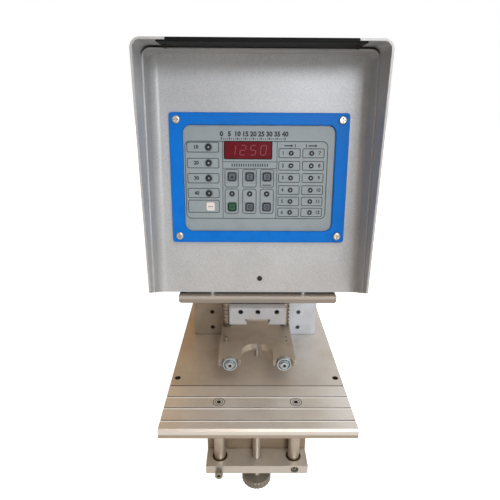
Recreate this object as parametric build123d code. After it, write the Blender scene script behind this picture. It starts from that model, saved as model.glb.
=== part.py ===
from build123d import *

import math
import os

os.makedirs("parts", exist_ok=True)

# A small bench pad printing machine: a printing bed with a lifting work table in front of it, and a
# hooded head above, whose carriage carries the pad and the ink fork.
# X runs to the right, Y to the back and Z up. The origin is on the ground under the bed.
# All lengths are in millimetres and all angles in degrees.

# Travels of the carriage, the pad and the work table
carriage_travel = 50.0
pad_travel = 36.0
table_travel = 40.0

# Clearances and overruns
overrun = 1.0
running_gap = 0.05
screw_gap = 0.1
slide_gap = 0.15
seat_gap = 0.3

# Bed plate, the level that all other heights start from
bed_top = 166.0
bed_thickness = 10.0
bed_width = 200.0
bed_front = -87.0
bed_rear = 150.0
bed_corner = 2.0
bed_hole = 7.0
bed_hole_inset_x = 7.0
bed_hole_inset_y = 14.0
bed_underside = bed_top - bed_thickness

# Foot plate: wide at the back, with a narrower tongue to the front
foot_thickness = 12.0
foot_width = bed_width
foot_step = 17.0
foot_corner = 6.0
tongue_width = 130.0
pedestal_front_face = -53.0
foot_bolt_hole = 9.0
foot_bolt_inset = 15.0

# Pedestal: two cheeks and a front plate between foot and bed
pedestal_width = 120.0
cheek_thickness = 10.0
cheek_rear_inset = 10.0
front_plate_thickness = 10.0

# Column: two blocks on the bed that carry the head
column_front = 26.5
column_depth = 80.0
column_half_width = 84.0
column_inner = 46.0
column_height = 98.8
column_hole = 6.0
column_hole_depth = 15.0
column_hole_inset = 24.5
column_hole_rises = (11.5, 35.0)

# Head base plate on the columns
base_half_width = 86.5
base_thickness = 8.0
base_front = -75.0
base_rear = 150.0
base_edge_radius = 3.0
base_window_half_width = 45.0
base_window_rear = 45.0
base_window_margin = 1.0
base_underside = bed_top + column_height
base_top = base_underside + base_thickness

# Hood: two bent side panels, a top cover and a rear cover
hood_half_width = 110.0
hood_front = -108.0
hood_rear = 155.0
hood_height = 250.0
hood_sheet = 2.0
hood_bend = 7.0
hood_foot_bend = 2.0
top_flange = 29.0
foot_flange_seat = 8.5
foot_flange = hood_half_width - base_half_width + foot_flange_seat
rear_flange = 15.0
side_front_rise = 19.2
side_foot_front = -62.7
hood_top = base_top + hood_height
hood_inner_half = hood_half_width - hood_sheet
top_cover_overlap = 7.0
top_cover_thickness = 1.5
top_cover_lip_gap = 0.5
rear_cover_thickness = 1.5
vent_count = 8
vent_width = 3.0
vent_length = 60.0
vent_pitch = 8.0
vent_drop = 30.0
vent_offset_share = 0.7

# Face panel: a tray that leans back between the side panels
face_tilt = 5.5
face_sheet = 1.5
face_bend = 8.0
face_flange = 27.0
face_rise = 3.7
face_top_gap = 0.5
face_corner = 8.0
face_setback = 3.5
face_front = base_front + face_setback
tilt_cosine = math.cos(math.radians(face_tilt))
face_height = (hood_height - hood_sheet - face_rise) / tilt_cosine
face_screw_height = 15.8
face_screw_offset = 2.0

# Bezel round the control panel
bezel_side_gap = 20.0
bezel_width = 2 * (hood_half_width - bezel_side_gap)
bezel_height = 131.0
bezel_side_bar = 13.25
bezel_opening_width = bezel_width - 2 * bezel_side_bar
bezel_opening_height = 107.5
bezel_thickness = 3.5
bezel_outer_corner = 3.0
bezel_inner_corner = 8.0
bezel_edge_break = 0.6
bezel_centre_height = 122.2
bezel_screw_inset_x = 7.5
bezel_screw_inset_y = 7.0

# Control panel: overlay, display, lamps and keys, placed from the middle of the bezel's opening
overlay_thickness = 0.6
overlay_gap = 0.2
display_left = -35.3
display_right = 12.8
display_low = 20.8
display_high = 37.8
display_thickness = 1.5
key_size = 9.0
key_corner = 2.0
key_rise = 0.6
key_travel = 0.5
key_flange_margin = 0.9
key_flange_thickness = 0.8
key_stem = 4.0
lamp_diameter = 3.0
lamp_rise = 0.5
left_key_place = -27.6
middle_key_place = -9.4
right_key_place = 8.3
key_columns = (left_key_place, middle_key_place, right_key_place)
upper_key_height = 2.8
lower_key_height = -28.3
side_key_place = (-50.0, -28.0)
side_lamp_place = -51.3
side_lamp_heights = (32.2, 16.5, 1.2, -14.2)
lower_lamp_height = -14.6
port_lamp_places = (32.6, 53.4)
port_lamp_heights = (26.6, 14.1, 1.85, -10.6, -22.3, -33.8)

# Control board behind the face panel
board_width = 150.0
board_height = 104.0
board_thickness = 1.6
standoff_length = 8.0
standoff_diameter = 6.0
standoff_inset = 5.0
switch_size = 6.0
switch_height = 3.5
connector_width = 30.0
connector_height = 9.0
connector_depth = 8.0
connector_inset = 4.0
chip_size = 12.0
chip_height = 2.0

# Rails and bearing blocks of the carriage
rail_offset = 50.0
rail_width = 9.0
rail_height = 6.5
rail_front = -62.0
rail_spare = 112.0
rail_length = carriage_travel + rail_spare
rail_groove_depth = 1.0
rail_groove_height = 2.0
rail_screw_count = 4
rail_stop_offset = 6.0
block_bearing_width = 20.0
block_bearing_length = 30.0
block_bearing_total = 10.0
block_bearing_lift = 1.0
block_bearing_places = (22.0, 62.0)

# Carriage plate with its rod tab
carriage_half_width = 62.0
carriage_front = -17.0
carriage_rear = 80.0
carriage_thickness = 8.0
carriage_under = base_top + block_bearing_total
carriage_top = carriage_under + carriage_thickness
tab_thickness = 7.0
tab_width = 18.0
tab_margin = 1.0

# Horizontal cylinder that drives the carriage
drive_offset = 48.0
drive_height = 31.0
drive_radius = 11.0
drive_bore = 16.0
drive_front_gap = 17.0
drive_rear_gap = 18.0
drive_front = carriage_front + tab_margin + tab_thickness + drive_front_gap
drive_rear = rail_front + rail_length + drive_rear_gap
drive_cap = 12.0
drive_foot_length = 10.0
drive_rod = 8.0
piston_thickness = 8.0
port_diameter = 5.0
port_inset = 6.0

# Pad cylinder on the carriage, with its rod and two guide rods
pad_axis = 30.0
pad_cylinder_width = 32.0
pad_cylinder_spare = 39.0
pad_cylinder_height = pad_travel + pad_cylinder_spare
pad_cylinder_corner = 3.0
pad_cylinder_bore = 20.0
pad_cylinder_end = 7.0
pad_rod = 8.0
guide_rod = 8.0
guide_rod_offset = 22.0
guide_rod_spare = 54.0
guide_rod_length = pad_travel + guide_rod_spare

# Pad arm and pad block
block_half_width = 30.6
block_overhang = 11.0
block_depth = 36.0
block_height = 19.5
block_top_gap = 0.8
dovetail_mouth = 22.8
dovetail_inner = 28.0
dovetail_depth = 6.2
block_hole = 5.3
block_hole_places = (-18.5, 0.0, 20.5)
block_hole_drop = 4.6
arm_half_width = 29.0
arm_thickness = 11.0
arm_top_step = 2.0
arm_rear_margin = 14.0
pad_screw_length = 30.0
pad_screw_setback = 14.0

# Fork plate under the pad block
fork_rise = 32.0
fork_thickness = 8.0
fork_half_width = 43.9
fork_front = -84.3
fork_rear = 7.0
fork_mouth_half_width = 18.3
fork_arch = -49.2
fork_corner = 2.0
hanger_offset = 38.0
hanger_place = -3.0
hanger_rod = 6.0
hanger_head = 10.0
hanger_head_height = 4.0
upper_pin_place = (-37.0, -43.0)
upper_pin = 4.0
upper_pin_height = 5.4
upper_pin_collar = 5.6
upper_pin_collar_height = 1.2
lower_pin_place = (0.7, -44.5)
lower_pin = 6.0
lower_pin_length = 11.5
peg_hole_places = ((37.0, -34.0), (37.0, -42.5))
peg_hole = 2.2

# Springs on the hanger rods
spring_wire = 1.2
spring_outer = 12.0
spring_turns = 16
base_window_front = hanger_place - carriage_travel - spring_outer / 2 - base_window_margin

# Rollers on the fork's tips
roller_diameter = 16.0
roller_width = 5.0
roller_offset = 30.7
roller_pocket = 19.0
roller_pocket_depth = 3.0
roller_washer = 8.0
roller_washer_thickness = 1.0
roller_groove_inner = 9.4
roller_groove_outer = 13.0
roller_groove_depth = 0.5
axle_diameter = 5.0
axle_head = 8.5
axle_head_height = 2.6
axle_grip = 14.0
axle_socket = 4.0
axle_socket_depth = 2.0

# Work table on its two posts
table_gap = 1.3
table_depth = 68.7
table_width = bed_width
table_thickness = 10.0
table_chamfer = 2.0
groove_places = (-107.4, -125.3, -143.9)
groove_mouth = 3.0
groove_lip = 3.2
groove_inner = 6.4
groove_depth = 6.2
post_diameter = 13.0
post_offset = 41.8
post_place = -115.4
table_rear = bed_front - table_gap
table_front = table_rear - table_depth
table_underside = bed_top - table_thickness
table_screw = 6.0
table_screw_head = 12.5
table_screw_head_height = 3.3
table_screw_length = 25.0

# Lift bar and the bracket that holds it
bar_drop = 64.0
bar_thickness = 10.0
bar_half_width = 56.6
bar_front = -130.4
bracket_face = -104.6
bracket_plate = 12.0
bracket_arm = 10.0
bracket_clearance = 2.0
bush_wall = 2.0
clamp_screw = 5.0
clamp_head = 8.5
clamp_head_height = 5.0
clamp_neck = 3.5
clamp_hole = 8.6
clamp_hole_depth = 4.0
bar_top = table_underside - bar_drop
bar_underside = bar_top - bar_thickness
bracket_top = table_underside - table_travel - bracket_clearance

# Lead screw and its knob
lead_diameter = 9.9
lead_journal = 6.0
lead_journal_length = 5.0
lead_tip = 1.8
knob_diameter = 33.0
knob_thickness = 8.0
knob_drop = 14.5
knob_flutes = 24
knob_flute_radius = 1.3
knob_edge = 1.0
knob_top = bar_underside - knob_drop

# Screws that hold the machine together
small_screw = 3.0
small_head = 5.5
small_head_height = 3.0
medium_screw = 4.0
medium_head = 8.0
medium_head_height = 2.6
large_screw = 8.0
large_head = 13.0
large_head_height = 8.0
large_screw_grip = 16.0
cross_width = 1.0
cross_length = 4.4
cross_depth = 1.2
column_screw_inset = 25.0
foot_flange_screw_inset = 4.3
foot_flange_screws = (-30.0, 50.0, 130.0)
cover_screw_share = (0.08, 0.5, 0.92)
screw_bite = 6.0
face_screw_bite = 2.5

# Electrical and air pieces inside and at the back
supply_width = 30.0
supply_length = 98.0
supply_height = 82.0
supply_front = 30.0
supply_rise = 107.0
valve_width = 28.0
valve_length = 90.0
valve_base_height = 24.0
valve_body_height = 40.0
valve_body_length = 36.0
valve_front = 20.0
valve_rise = 120.0
inlet_side_gap = 48.0
inlet_place = inlet_side_gap - hood_half_width
inlet_rise = 52.0
inlet_flange_width = 32.0
inlet_flange_height = 62.0
inlet_flange_thickness = 2.0
inlet_body_width = 27.0
inlet_body_height = 52.0
inlet_body_depth = 26.0
inlet_socket_width = 24.0
inlet_socket_height = 17.0
inlet_socket_depth = 16.0
inlet_socket_drop = 12.0
inlet_pin_width = 4.0
inlet_pin_thickness = 2.0
inlet_pin_length = 10.0
inlet_pin_spacing = 7.0
inlet_pin_step = 3.6
rocker_width = 20.0
rocker_height = 13.0
rocker_rise = 15.0
rocker_depth = 8.0
rocker_gap = 0.9
rocker_well_spare = 4.0
rocker_hollow_share = 3.0
rocker_pin = 2.4
rocker_pin_reach = 2.4
fitting_side_gap = 48.0
fitting_place = hood_half_width - fitting_side_gap
fitting_rises = (40.0, 62.0)
fitting_body = 12.0
fitting_length = 20.0
fitting_bore = 6.1
fitting_bore_depth = 14.0
fitting_thread = 9.6
silencer_spacing = 22.0
silencer_place = fitting_place - silencer_spacing
silencer_length = 16.0


# Basic shapes


def box_between(x_low, x_high, y_low, y_high, z_low, z_high):
    """A box given by its low and high faces along each axis."""
    middle = Pos((x_low + x_high) / 2, (y_low + y_high) / 2, (z_low + z_high) / 2)
    return middle * Box(x_high - x_low, y_high - y_low, z_high - z_low)


def upright_rod(diameter, x, y, z_low, z_high):
    """A round bar along Z."""
    return Pos(x, y, (z_low + z_high) / 2) * Cylinder(diameter / 2, z_high - z_low)


def level_rod(diameter, x, z, y_low, y_high):
    """A round bar along Y."""
    return Pos(x, (y_low + y_high) / 2, z) * Rot(90, 0, 0) * Cylinder(diameter / 2, y_high - y_low)


def extruded_outline(points, plane, length):
    """A prism on an outline of straight lines."""
    return extrude(plane * make_face(Polyline(*points, close=True)), length)


def rounded_plate(width, height, corner, z_low, z_high):
    """A flat plate on XY, centred on Z, with rounded corners."""
    return Pos(0, 0, z_low) * extrude(RectangleRounded(width, height, corner), z_high - z_low)


def both_sides(shape):
    """The shape and its mirror image across the machine's middle."""
    return [shape, shape.mirror(Plane.YZ)]


def on_face(x, height, outward=0.0):
    """A place on the leaning face panel: X, height along the panel and distance out of it."""
    tilt = math.radians(face_tilt)
    plane = Plane(
        origin=(0, face_front, base_top + face_rise),
        x_dir=(1, 0, 0),
        z_dir=(0, -math.cos(tilt), math.sin(tilt)),
    )
    return plane.location * Pos(x, height, outward)


def on_panel(x=0.0, y=0.0, outward=0.0):
    """A place on the control panel, from the middle of the bezel's opening."""
    return on_face(x, bezel_centre_height + y, outward)


def cross_recess(depth_from):
    """The cross in a screw head whose top is at the given height."""
    bar = Pos(0, 0, depth_from - cross_depth / 2) * Box(cross_length, cross_width, cross_depth)
    return bar + Rot(0, 0, 90) * bar


def pan_screw(diameter, head, head_height, length):
    """A pan head screw along Z: its head stands above zero and its shank goes down."""
    cap = Pos(0, 0, head_height / 2) * Cylinder(head / 2, head_height)
    cap = fillet(cap.edges().group_by(Axis.Z)[-1], head_height / 2)
    shank = Pos(0, 0, -length / 2) * Cylinder(diameter / 2, length)
    return cap + shank - cross_recess(head_height)


def cap_screw(diameter, head, head_height, length):
    """A socket head screw along Z: its head stands above zero and its shank goes down."""
    cap = Pos(0, 0, head_height / 2) * Cylinder(head / 2, head_height)
    shank = Pos(0, 0, -length / 2) * Cylinder(diameter / 2, length)
    socket = Pos(0, 0, head_height / 2) * extrude(RegularPolygon(head / 4, 6), head_height / 2)
    return cap + shank - socket


def save(node, *shapes):
    """Writes one node, which holds each given solid as a piece of its own."""
    solids = [solid for shape in shapes for solid in shape.solids()]
    content = solids[0] if len(solids) == 1 else Compound(children=solids)
    export_step(content, "parts/" + node + ".step")


# Foot and pedestal


def make_foot_plate():
    """The T-shaped plate that the machine stands on."""
    wide = box_between(-foot_width / 2, foot_width / 2, foot_step, bed_rear, 0, foot_thickness)
    tongue = box_between(
        -tongue_width / 2, tongue_width / 2, pedestal_front_face, foot_step, 0, foot_thickness
    )
    plate = wide + tongue
    plate = fillet(plate.edges().filter_by(Axis.Z), foot_corner)
    for x in (-foot_width / 2 + foot_bolt_inset, foot_width / 2 - foot_bolt_inset):
        for y in (foot_step + foot_bolt_inset, bed_rear - foot_bolt_inset):
            plate -= upright_rod(foot_bolt_hole, x, y, -overrun, foot_thickness + overrun)
    return plate


def make_pedestal_cheek():
    """The right cheek between foot and bed."""
    return box_between(
        pedestal_width / 2 - cheek_thickness,
        pedestal_width / 2,
        pedestal_front_face,
        bed_rear - cheek_rear_inset,
        foot_thickness,
        bed_underside,
    )


def make_pedestal_front():
    """The plate between the cheeks at the front."""
    inner = pedestal_width / 2 - cheek_thickness
    rear = pedestal_front_face + front_plate_thickness
    return box_between(-inner, inner, pedestal_front_face, rear, foot_thickness, bed_underside)


# Bed and column


def column_screw_places():
    """The X and Y of the screws that go up through the bed into the column blocks."""
    x = column_inner + column_screw_inset
    front = column_front + column_screw_inset
    rear = column_front + column_depth - column_screw_inset
    return [(side * x, y) for side in (-1, 1) for y in (front, rear)]


def make_bed_plate():
    """The printing bed, with two holes near its front corners."""
    plate = box_between(
        -bed_width / 2, bed_width / 2, bed_front, bed_rear, bed_underside, bed_top
    )
    plate = fillet(plate.edges().filter_by(Axis.Z), bed_corner)
    hole_x = bed_width / 2 - bed_hole_inset_x
    for x in (-hole_x, hole_x):
        plate -= upright_rod(
            bed_hole, x, bed_front + bed_hole_inset_y, bed_underside - overrun, bed_top + overrun
        )
    for x, y in column_screw_places():
        plate -= upright_rod(
            large_screw + 2 * screw_gap, x, y, bed_underside - overrun, bed_top + overrun
        )
    return plate


def make_column():
    """The right column block, with two tapped holes in its front."""
    block = box_between(
        column_inner,
        column_half_width,
        column_front,
        column_front + column_depth,
        bed_top,
        base_underside,
    )
    for rise in column_hole_rises:
        block -= level_rod(
            column_hole,
            column_half_width - column_hole_inset,
            bed_top + rise,
            column_front - overrun,
            column_front + column_hole_depth,
        )
    for x, y in column_screw_places():
        if x > 0:
            depth = large_screw_grip - bed_thickness + overrun
            block -= upright_rod(large_screw + 2 * screw_gap, x, y, bed_top - overrun, bed_top + depth)
            block -= upright_rod(
                medium_screw + 2 * screw_gap, x, y, base_underside - screw_bite - overrun, base_top
            )
    return block


def make_head_base_plate():
    """The plate on the columns: a window lets the rods through to the carriage above."""
    plate = box_between(
        -base_half_width, base_half_width, base_front, base_rear, base_underside, base_top
    )
    lower_edges = plate.edges().filter_by(Axis.Y).group_by(Axis.Z)[0]
    plate = fillet(lower_edges, base_edge_radius)
    plate -= box_between(
        -base_window_half_width,
        base_window_half_width,
        base_window_front,
        base_window_rear,
        base_underside - overrun,
        base_top + overrun,
    )
    hole = small_screw + 2 * screw_gap
    for x, y in rail_screw_places() + rail_stop_places():
        plate -= upright_rod(hole, x, y, base_underside - overrun, base_top + overrun)
    hole = medium_screw + 2 * screw_gap
    for x, y in column_screw_places() + foot_flange_screw_places():
        plate -= upright_rod(hole, x, y, base_underside - overrun, base_top + overrun)
    return plate


# Hood


def foot_flange_screw_places():
    """The X and Y of the screws through the side panels' lower flanges."""
    x = hood_half_width - foot_flange + foot_flange_screw_inset
    return [(side * x, y) for side in (-1, 1) for y in foot_flange_screws]


def cover_heights():
    """The heights of the rear cover's screws."""
    return [base_top + share * hood_height for share in cover_screw_share]


def cover_depths():
    """The Y of the top cover's screws."""
    return [hood_front + share * (hood_rear - hood_front) for share in cover_screw_share]


def slope_under_hood():
    """The space under the hood's front, cut from the side walls and the face panel's flanges."""
    slope = side_front_rise / (side_foot_front - hood_front)
    outline = [
        (hood_front - overrun, base_top - overrun),
        (side_foot_front + overrun / slope, base_top - overrun),
        (hood_front - overrun, base_top + side_front_rise + overrun * slope),
    ]
    half = hood_half_width + overrun
    return Pos(-half, 0, 0) * extruded_outline(outline, Plane.YZ, 2 * half)


def make_side_panel():
    """The right side panel: a wall with flanges at its top, foot and back."""
    outer = box_between(0, hood_half_width, hood_front, hood_rear, base_top, hood_top)
    outer_edges = outer.edges().filter_by(Axis.Y).group_by(Axis.X)[-1].sort_by(Axis.Z)
    outer = fillet(outer_edges[-1], hood_bend + hood_sheet)
    outer_edges = outer.edges().filter_by(Axis.Y).sort_by(Axis.Z)
    lowest = [edge for edge in outer_edges if edge.center().X > hood_inner_half][0]
    outer = fillet(lowest, hood_foot_bend + hood_sheet)
    inner = box_between(
        -overrun,
        hood_inner_half,
        hood_front - overrun,
        hood_rear - hood_sheet,
        base_top + hood_sheet,
        hood_top - hood_sheet,
    )
    inner_edges = inner.edges().filter_by(Axis.Y).group_by(Axis.X)[-1].sort_by(Axis.Z)
    inner = fillet(inner_edges[-1], hood_bend)
    inner_edges = inner.edges().filter_by(Axis.Y).sort_by(Axis.Z)
    lowest = [edge for edge in inner_edges if edge.center().X > hood_inner_half - overrun][0]
    inner = fillet(lowest, hood_foot_bend)
    panel = outer - inner
    panel -= box_between(
        -overrun,
        hood_half_width - foot_flange,
        hood_front - overrun,
        hood_rear + overrun,
        base_top - overrun,
        base_top + hood_sheet,
    )
    panel -= box_between(
        -overrun,
        hood_half_width - top_flange,
        hood_front - overrun,
        hood_rear + overrun,
        base_top + hood_sheet,
        hood_top + overrun,
    )
    panel -= box_between(
        -overrun,
        hood_half_width - rear_flange,
        hood_rear - hood_sheet,
        hood_rear + overrun,
        base_top + hood_sheet,
        hood_top - hood_sheet,
    )
    panel -= slope_under_hood()
    hole = medium_screw + 2 * screw_gap
    for x, y in foot_flange_screw_places():
        if x > 0:
            panel -= upright_rod(hole, x, y, base_top - overrun, base_top + hood_sheet + overrun)
    for z in cover_heights():
        x = hood_half_width - rear_flange / 2
        panel -= level_rod(hole, x, z, hood_rear - hood_sheet - overrun, hood_rear + overrun)
    for y in cover_depths():
        x = hood_half_width - top_flange + top_cover_overlap / 2
        hole = small_screw + 2 * screw_gap
        panel -= upright_rod(hole, x, y, hood_top - hood_sheet - overrun, hood_top + overrun)
    return panel


def make_top_cover():
    """The cover under the side panels' top flanges, with a lip between them at the front."""
    half_width = hood_half_width - top_flange + top_cover_overlap
    top = hood_top - hood_sheet
    cover = box_between(
        -half_width, half_width, hood_front, hood_rear, top - top_cover_thickness, top
    )
    lip_half = hood_half_width - top_flange - top_cover_lip_gap
    cover += box_between(
        -lip_half, lip_half, hood_front, hood_front + top_cover_thickness, top - top_cover_thickness, hood_top
    )
    for y in cover_depths():
        for x in (-half_width + top_cover_overlap / 2, half_width - top_cover_overlap / 2):
            hole = small_screw + 2 * screw_gap
            cover -= upright_rod(hole, x, y, top - 2 * top_cover_thickness, top + overrun)
    return cover


def make_rear_cover():
    """The flat cover that closes the hood at the back, with air slots and cut-outs."""
    rear = hood_rear + rear_cover_thickness
    cover = box_between(
        -hood_half_width, hood_half_width, hood_rear, rear, base_top, hood_top
    )
    cover = fillet(cover.edges().filter_by(Axis.Y), hood_bend / 2)
    for index in range(vent_count):
        z = hood_top - vent_drop - index * vent_pitch
        for side in (-1, 1):
            slot = Pos(side * vent_offset_share * vent_length, hood_rear, z) * Rot(90, 0, 0)
            cover -= slot * extrude(
                SlotOverall(vent_length, vent_width), rear_cover_thickness + overrun, both=True
            )
    cut = rear_cover_thickness + overrun
    cover -= box_between(
        inlet_place - inlet_body_width / 2 - slide_gap,
        inlet_place + inlet_body_width / 2 + slide_gap,
        hood_rear - overrun,
        hood_rear + cut,
        base_top + inlet_rise - inlet_body_height / 2 - slide_gap,
        base_top + inlet_rise + inlet_body_height / 2 + slide_gap,
    )
    hole = fitting_thread + 2 * screw_gap
    for x, z in fitting_places():
        cover -= level_rod(hole, x, z, hood_rear - overrun, hood_rear + cut)
    hole = medium_screw + 2 * screw_gap
    x = hood_half_width - rear_flange / 2
    for z in cover_heights():
        cover -= level_rod(hole, x, z, hood_rear - overrun, hood_rear + cut)
        cover -= level_rod(hole, -x, z, hood_rear - overrun, hood_rear + cut)
    return cover


def make_hood_screws():
    """All screws of the hood: lower flanges, top cover, rear cover and the one low on the face."""
    screws = []
    flange_screw = pan_screw(medium_screw, medium_head, medium_head_height, screw_bite)
    for x, y in foot_flange_screw_places():
        screws.append(Pos(x, y, base_top + hood_sheet) * flange_screw)
    cover_screw = pan_screw(small_screw, small_head, small_head_height / 2, screw_bite)
    x = hood_half_width - top_flange + top_cover_overlap / 2
    for y in cover_depths():
        for side in (-1, 1):
            screws.append(Pos(side * x, y, hood_top) * cover_screw)
    x = hood_half_width - rear_flange / 2
    for z in cover_heights():
        for side in (-1, 1):
            place = Pos(side * x, hood_rear + rear_cover_thickness, z) * Rot(-90, 0, 0)
            screws.append(place * flange_screw)
    face_screw = pan_screw(small_screw, small_head, small_head_height / 2, face_screw_bite)
    screws.append(on_face(face_screw_offset, face_screw_height) * face_screw)
    return screws


# Face panel and bezel


def key_places():
    """Each key's name and its place on the control panel."""
    places = {}
    for number, x in enumerate(key_columns, start=1):
        places["key_upper_" + str(number)] = (x, upper_key_height)
        places["key_lower_" + str(number)] = (x, lower_key_height)
    places["key_side"] = side_key_place
    return places


def lamp_places():
    """The place of every indicator lamp on the control panel."""
    places = [(side_lamp_place, y) for y in side_lamp_heights]
    places += [(x, lower_lamp_height) for x in key_columns]
    places += [(x, y) for x in port_lamp_places for y in port_lamp_heights]
    return places


def panel_cuts(depth_low, depth_high):
    """The cut-outs for display, keys and lamps, through the given stretch."""
    display = box_between(
        display_left, display_right, display_low, display_high, depth_low, depth_high
    )
    cuts = [on_panel() * display]
    for x, y in key_places().values():
        size = key_size + 2 * seat_gap
        hole = rounded_plate(size, size, key_corner, depth_low, depth_high)
        cuts.append(on_panel(x, y) * hole)
    for x, y in lamp_places():
        hole = upright_rod(lamp_diameter + 2 * screw_gap, 0, 0, depth_low, depth_high)
        cuts.append(on_panel(x, y) * hole)
    return cuts


def bezel_screw_places():
    """The places of the four screws in the bezel's corners."""
    x = bezel_width / 2 - bezel_screw_inset_x
    y = bezel_height / 2 - bezel_screw_inset_y
    return [(side * x, level * y) for side in (-1, 1) for level in (-1, 1)]


def make_face_panel():
    """The leaning tray: a web with a flange along each side panel and one under the top cover."""
    outer = box_between(
        -hood_inner_half, hood_inner_half, 0, face_height, -face_sheet, face_flange
    )
    outer = fillet(outer.edges().filter_by(Axis.Y).group_by(Axis.Z)[0], face_bend + face_sheet)
    inner_half = hood_inner_half - face_sheet
    inner = box_between(
        -inner_half, inner_half, -overrun, face_height + overrun, 0, face_flange + face_bend
    )
    inner = fillet(inner.edges().filter_by(Axis.Y).group_by(Axis.Z)[0], face_bend)
    tray = outer - inner
    top = hood_top - hood_sheet - top_cover_thickness - face_top_gap
    rear = face_front + face_height
    hollow = box_between(-hood_inner_half, hood_inner_half, hood_front, rear, base_top, top)
    hollow = fillet(hollow.edges().filter_by(Axis.Y).group_by(Axis.Z)[-1], face_corner)
    core = box_between(
        -inner_half, inner_half, hood_front - overrun, rear + overrun, base_top - overrun, top - face_sheet
    )
    core = fillet(core.edges().filter_by(Axis.Y).group_by(Axis.Z)[-1], face_corner - face_sheet)
    tray = (on_face(0, 0) * tray & hollow) + (on_face(0, 0) * outer & (hollow - core))
    tray -= slope_under_hood()
    for cut in panel_cuts(-2 * face_sheet, face_sheet):
        tray -= cut
    hole = upright_rod(medium_screw + 2 * screw_gap, 0, 0, -2 * face_sheet, face_sheet)
    for x, y in bezel_screw_places():
        tray -= on_panel(x, y) * hole
    hole = upright_rod(small_screw + 2 * screw_gap, 0, 0, -2 * face_sheet, face_sheet)
    tray -= on_face(face_screw_offset, face_screw_height) * hole
    return tray


def make_bezel():
    """The frame round the control panel."""
    frame = rounded_plate(bezel_width, bezel_height, bezel_outer_corner, 0, bezel_thickness)
    frame -= rounded_plate(
        bezel_opening_width,
        bezel_opening_height,
        bezel_inner_corner,
        -overrun,
        bezel_thickness + overrun,
    )
    frame = chamfer(frame.edges().group_by(Axis.Z)[-1], bezel_edge_break)
    hole = upright_rod(medium_screw + 2 * screw_gap, 0, 0, -overrun, bezel_thickness + overrun)
    for x, y in bezel_screw_places():
        frame -= Pos(x, y, 0) * hole
    return on_panel() * frame


def make_bezel_screws():
    """Four pan head screws in the bezel's corners."""
    length = bezel_thickness + face_sheet + screw_bite
    screw = pan_screw(medium_screw, medium_head, medium_head_height, length)
    return [on_panel(x, y, bezel_thickness) * screw for x, y in bezel_screw_places()]


def make_overlay():
    """The thin front sheet of the control panel inside the bezel."""
    sheet = rounded_plate(
        bezel_opening_width - 2 * overlay_gap,
        bezel_opening_height - 2 * overlay_gap,
        bezel_inner_corner - overlay_gap,
        0,
        overlay_thickness,
    )
    sheet = on_panel() * sheet
    for cut in panel_cuts(-overrun, overlay_thickness + overrun):
        sheet -= cut
    return sheet


def make_display_window():
    """The dark window in front of the digits."""
    window = box_between(
        display_left + slide_gap,
        display_right - slide_gap,
        display_low + slide_gap,
        display_high - slide_gap,
        overlay_thickness - display_thickness,
        overlay_thickness,
    )
    return on_panel() * window


def make_key(x, y):
    """One key: a cap through the sheet, a flange behind it and a stem to its switch."""
    size = key_size
    flange = key_size + 2 * seat_gap + 2 * key_flange_margin
    flange_top = -face_sheet - running_gap
    flange_low = flange_top - key_flange_thickness
    cap = rounded_plate(size, size, key_corner, flange_low, overlay_thickness + key_rise)
    cap = fillet(cap.edges().group_by(Axis.Z)[-1], key_rise / 2)
    collar = rounded_plate(flange, flange, key_corner, flange_low, flange_top)
    stem_end = -face_sheet - standoff_length + switch_height + key_travel + running_gap
    stem = upright_rod(key_stem, 0, 0, stem_end, flange_low)
    return on_panel(x, y) * (cap + collar + stem)


def make_lamps():
    """The indicator lamps, each a round lens that reaches from the board to the overlay."""
    low = -face_sheet - standoff_length
    lamps = []
    for x, y in lamp_places():
        lamp = upright_rod(lamp_diameter, 0, 0, low, overlay_thickness + lamp_rise)
        lamp = fillet(lamp.edges().group_by(Axis.Z)[-1], lamp_rise)
        lamps.append(on_panel(x, y) * lamp)
    return lamps


def standoff_places():
    """The corners where the board is held."""
    x = board_width / 2 - standoff_inset
    y = board_height / 2 - standoff_inset
    return [(side * x, level * y) for side in (-1, 1) for level in (-1, 1)]


def make_board():
    """The control board with its switches, digit module, chips and rear connectors."""
    front = -face_sheet - standoff_length
    back = front - board_thickness
    half_width = board_width / 2
    half_height = board_height / 2
    pieces = [box_between(-half_width, half_width, -half_height, half_height, back, front)]
    switch = Pos(0, 0, front + switch_height / 2) * Box(switch_size, switch_size, switch_height)
    for x, y in key_places().values():
        pieces.append(Pos(x, y, 0) * switch)
    window_back = overlay_thickness - display_thickness
    pieces.append(
        box_between(
            display_left + slide_gap,
            display_right - slide_gap,
            display_low + slide_gap,
            display_high - slide_gap,
            front,
            window_back - slide_gap,
        )
    )
    for side in (-1, 0, 1):
        x = side * (connector_width + connector_inset)
        y = -half_height + connector_inset + connector_height / 2
        connector = Box(connector_width, connector_height, connector_depth)
        pieces.append(Pos(x, y, back - connector_depth / 2) * connector)
    for side in (-1, 1):
        chip = Box(chip_size, chip_size, chip_height)
        pieces.append(Pos(side * chip_size, 0, back - chip_height / 2) * chip)
    return [on_panel() * piece for piece in pieces]


def make_standoffs():
    """Four round spacers between the face panel and the board."""
    high = -face_sheet
    post = upright_rod(standoff_diameter, 0, 0, high - standoff_length, high)
    return [on_panel(x, y) * post for x, y in standoff_places()]


# Carriage


def rail_screw_places():
    """The X and Y of the screws along both rails."""
    pitch = rail_length / rail_screw_count
    places = [rail_front + (index + 0.5) * pitch for index in range(rail_screw_count)]
    return [(side * rail_offset, y) for side in (-1, 1) for y in places]


def rail_stop_places():
    """The X and Y of the stop screws in front of the rails."""
    y = rail_front - rail_stop_offset
    return [(-rail_offset, y), (rail_offset, y)]


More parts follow.
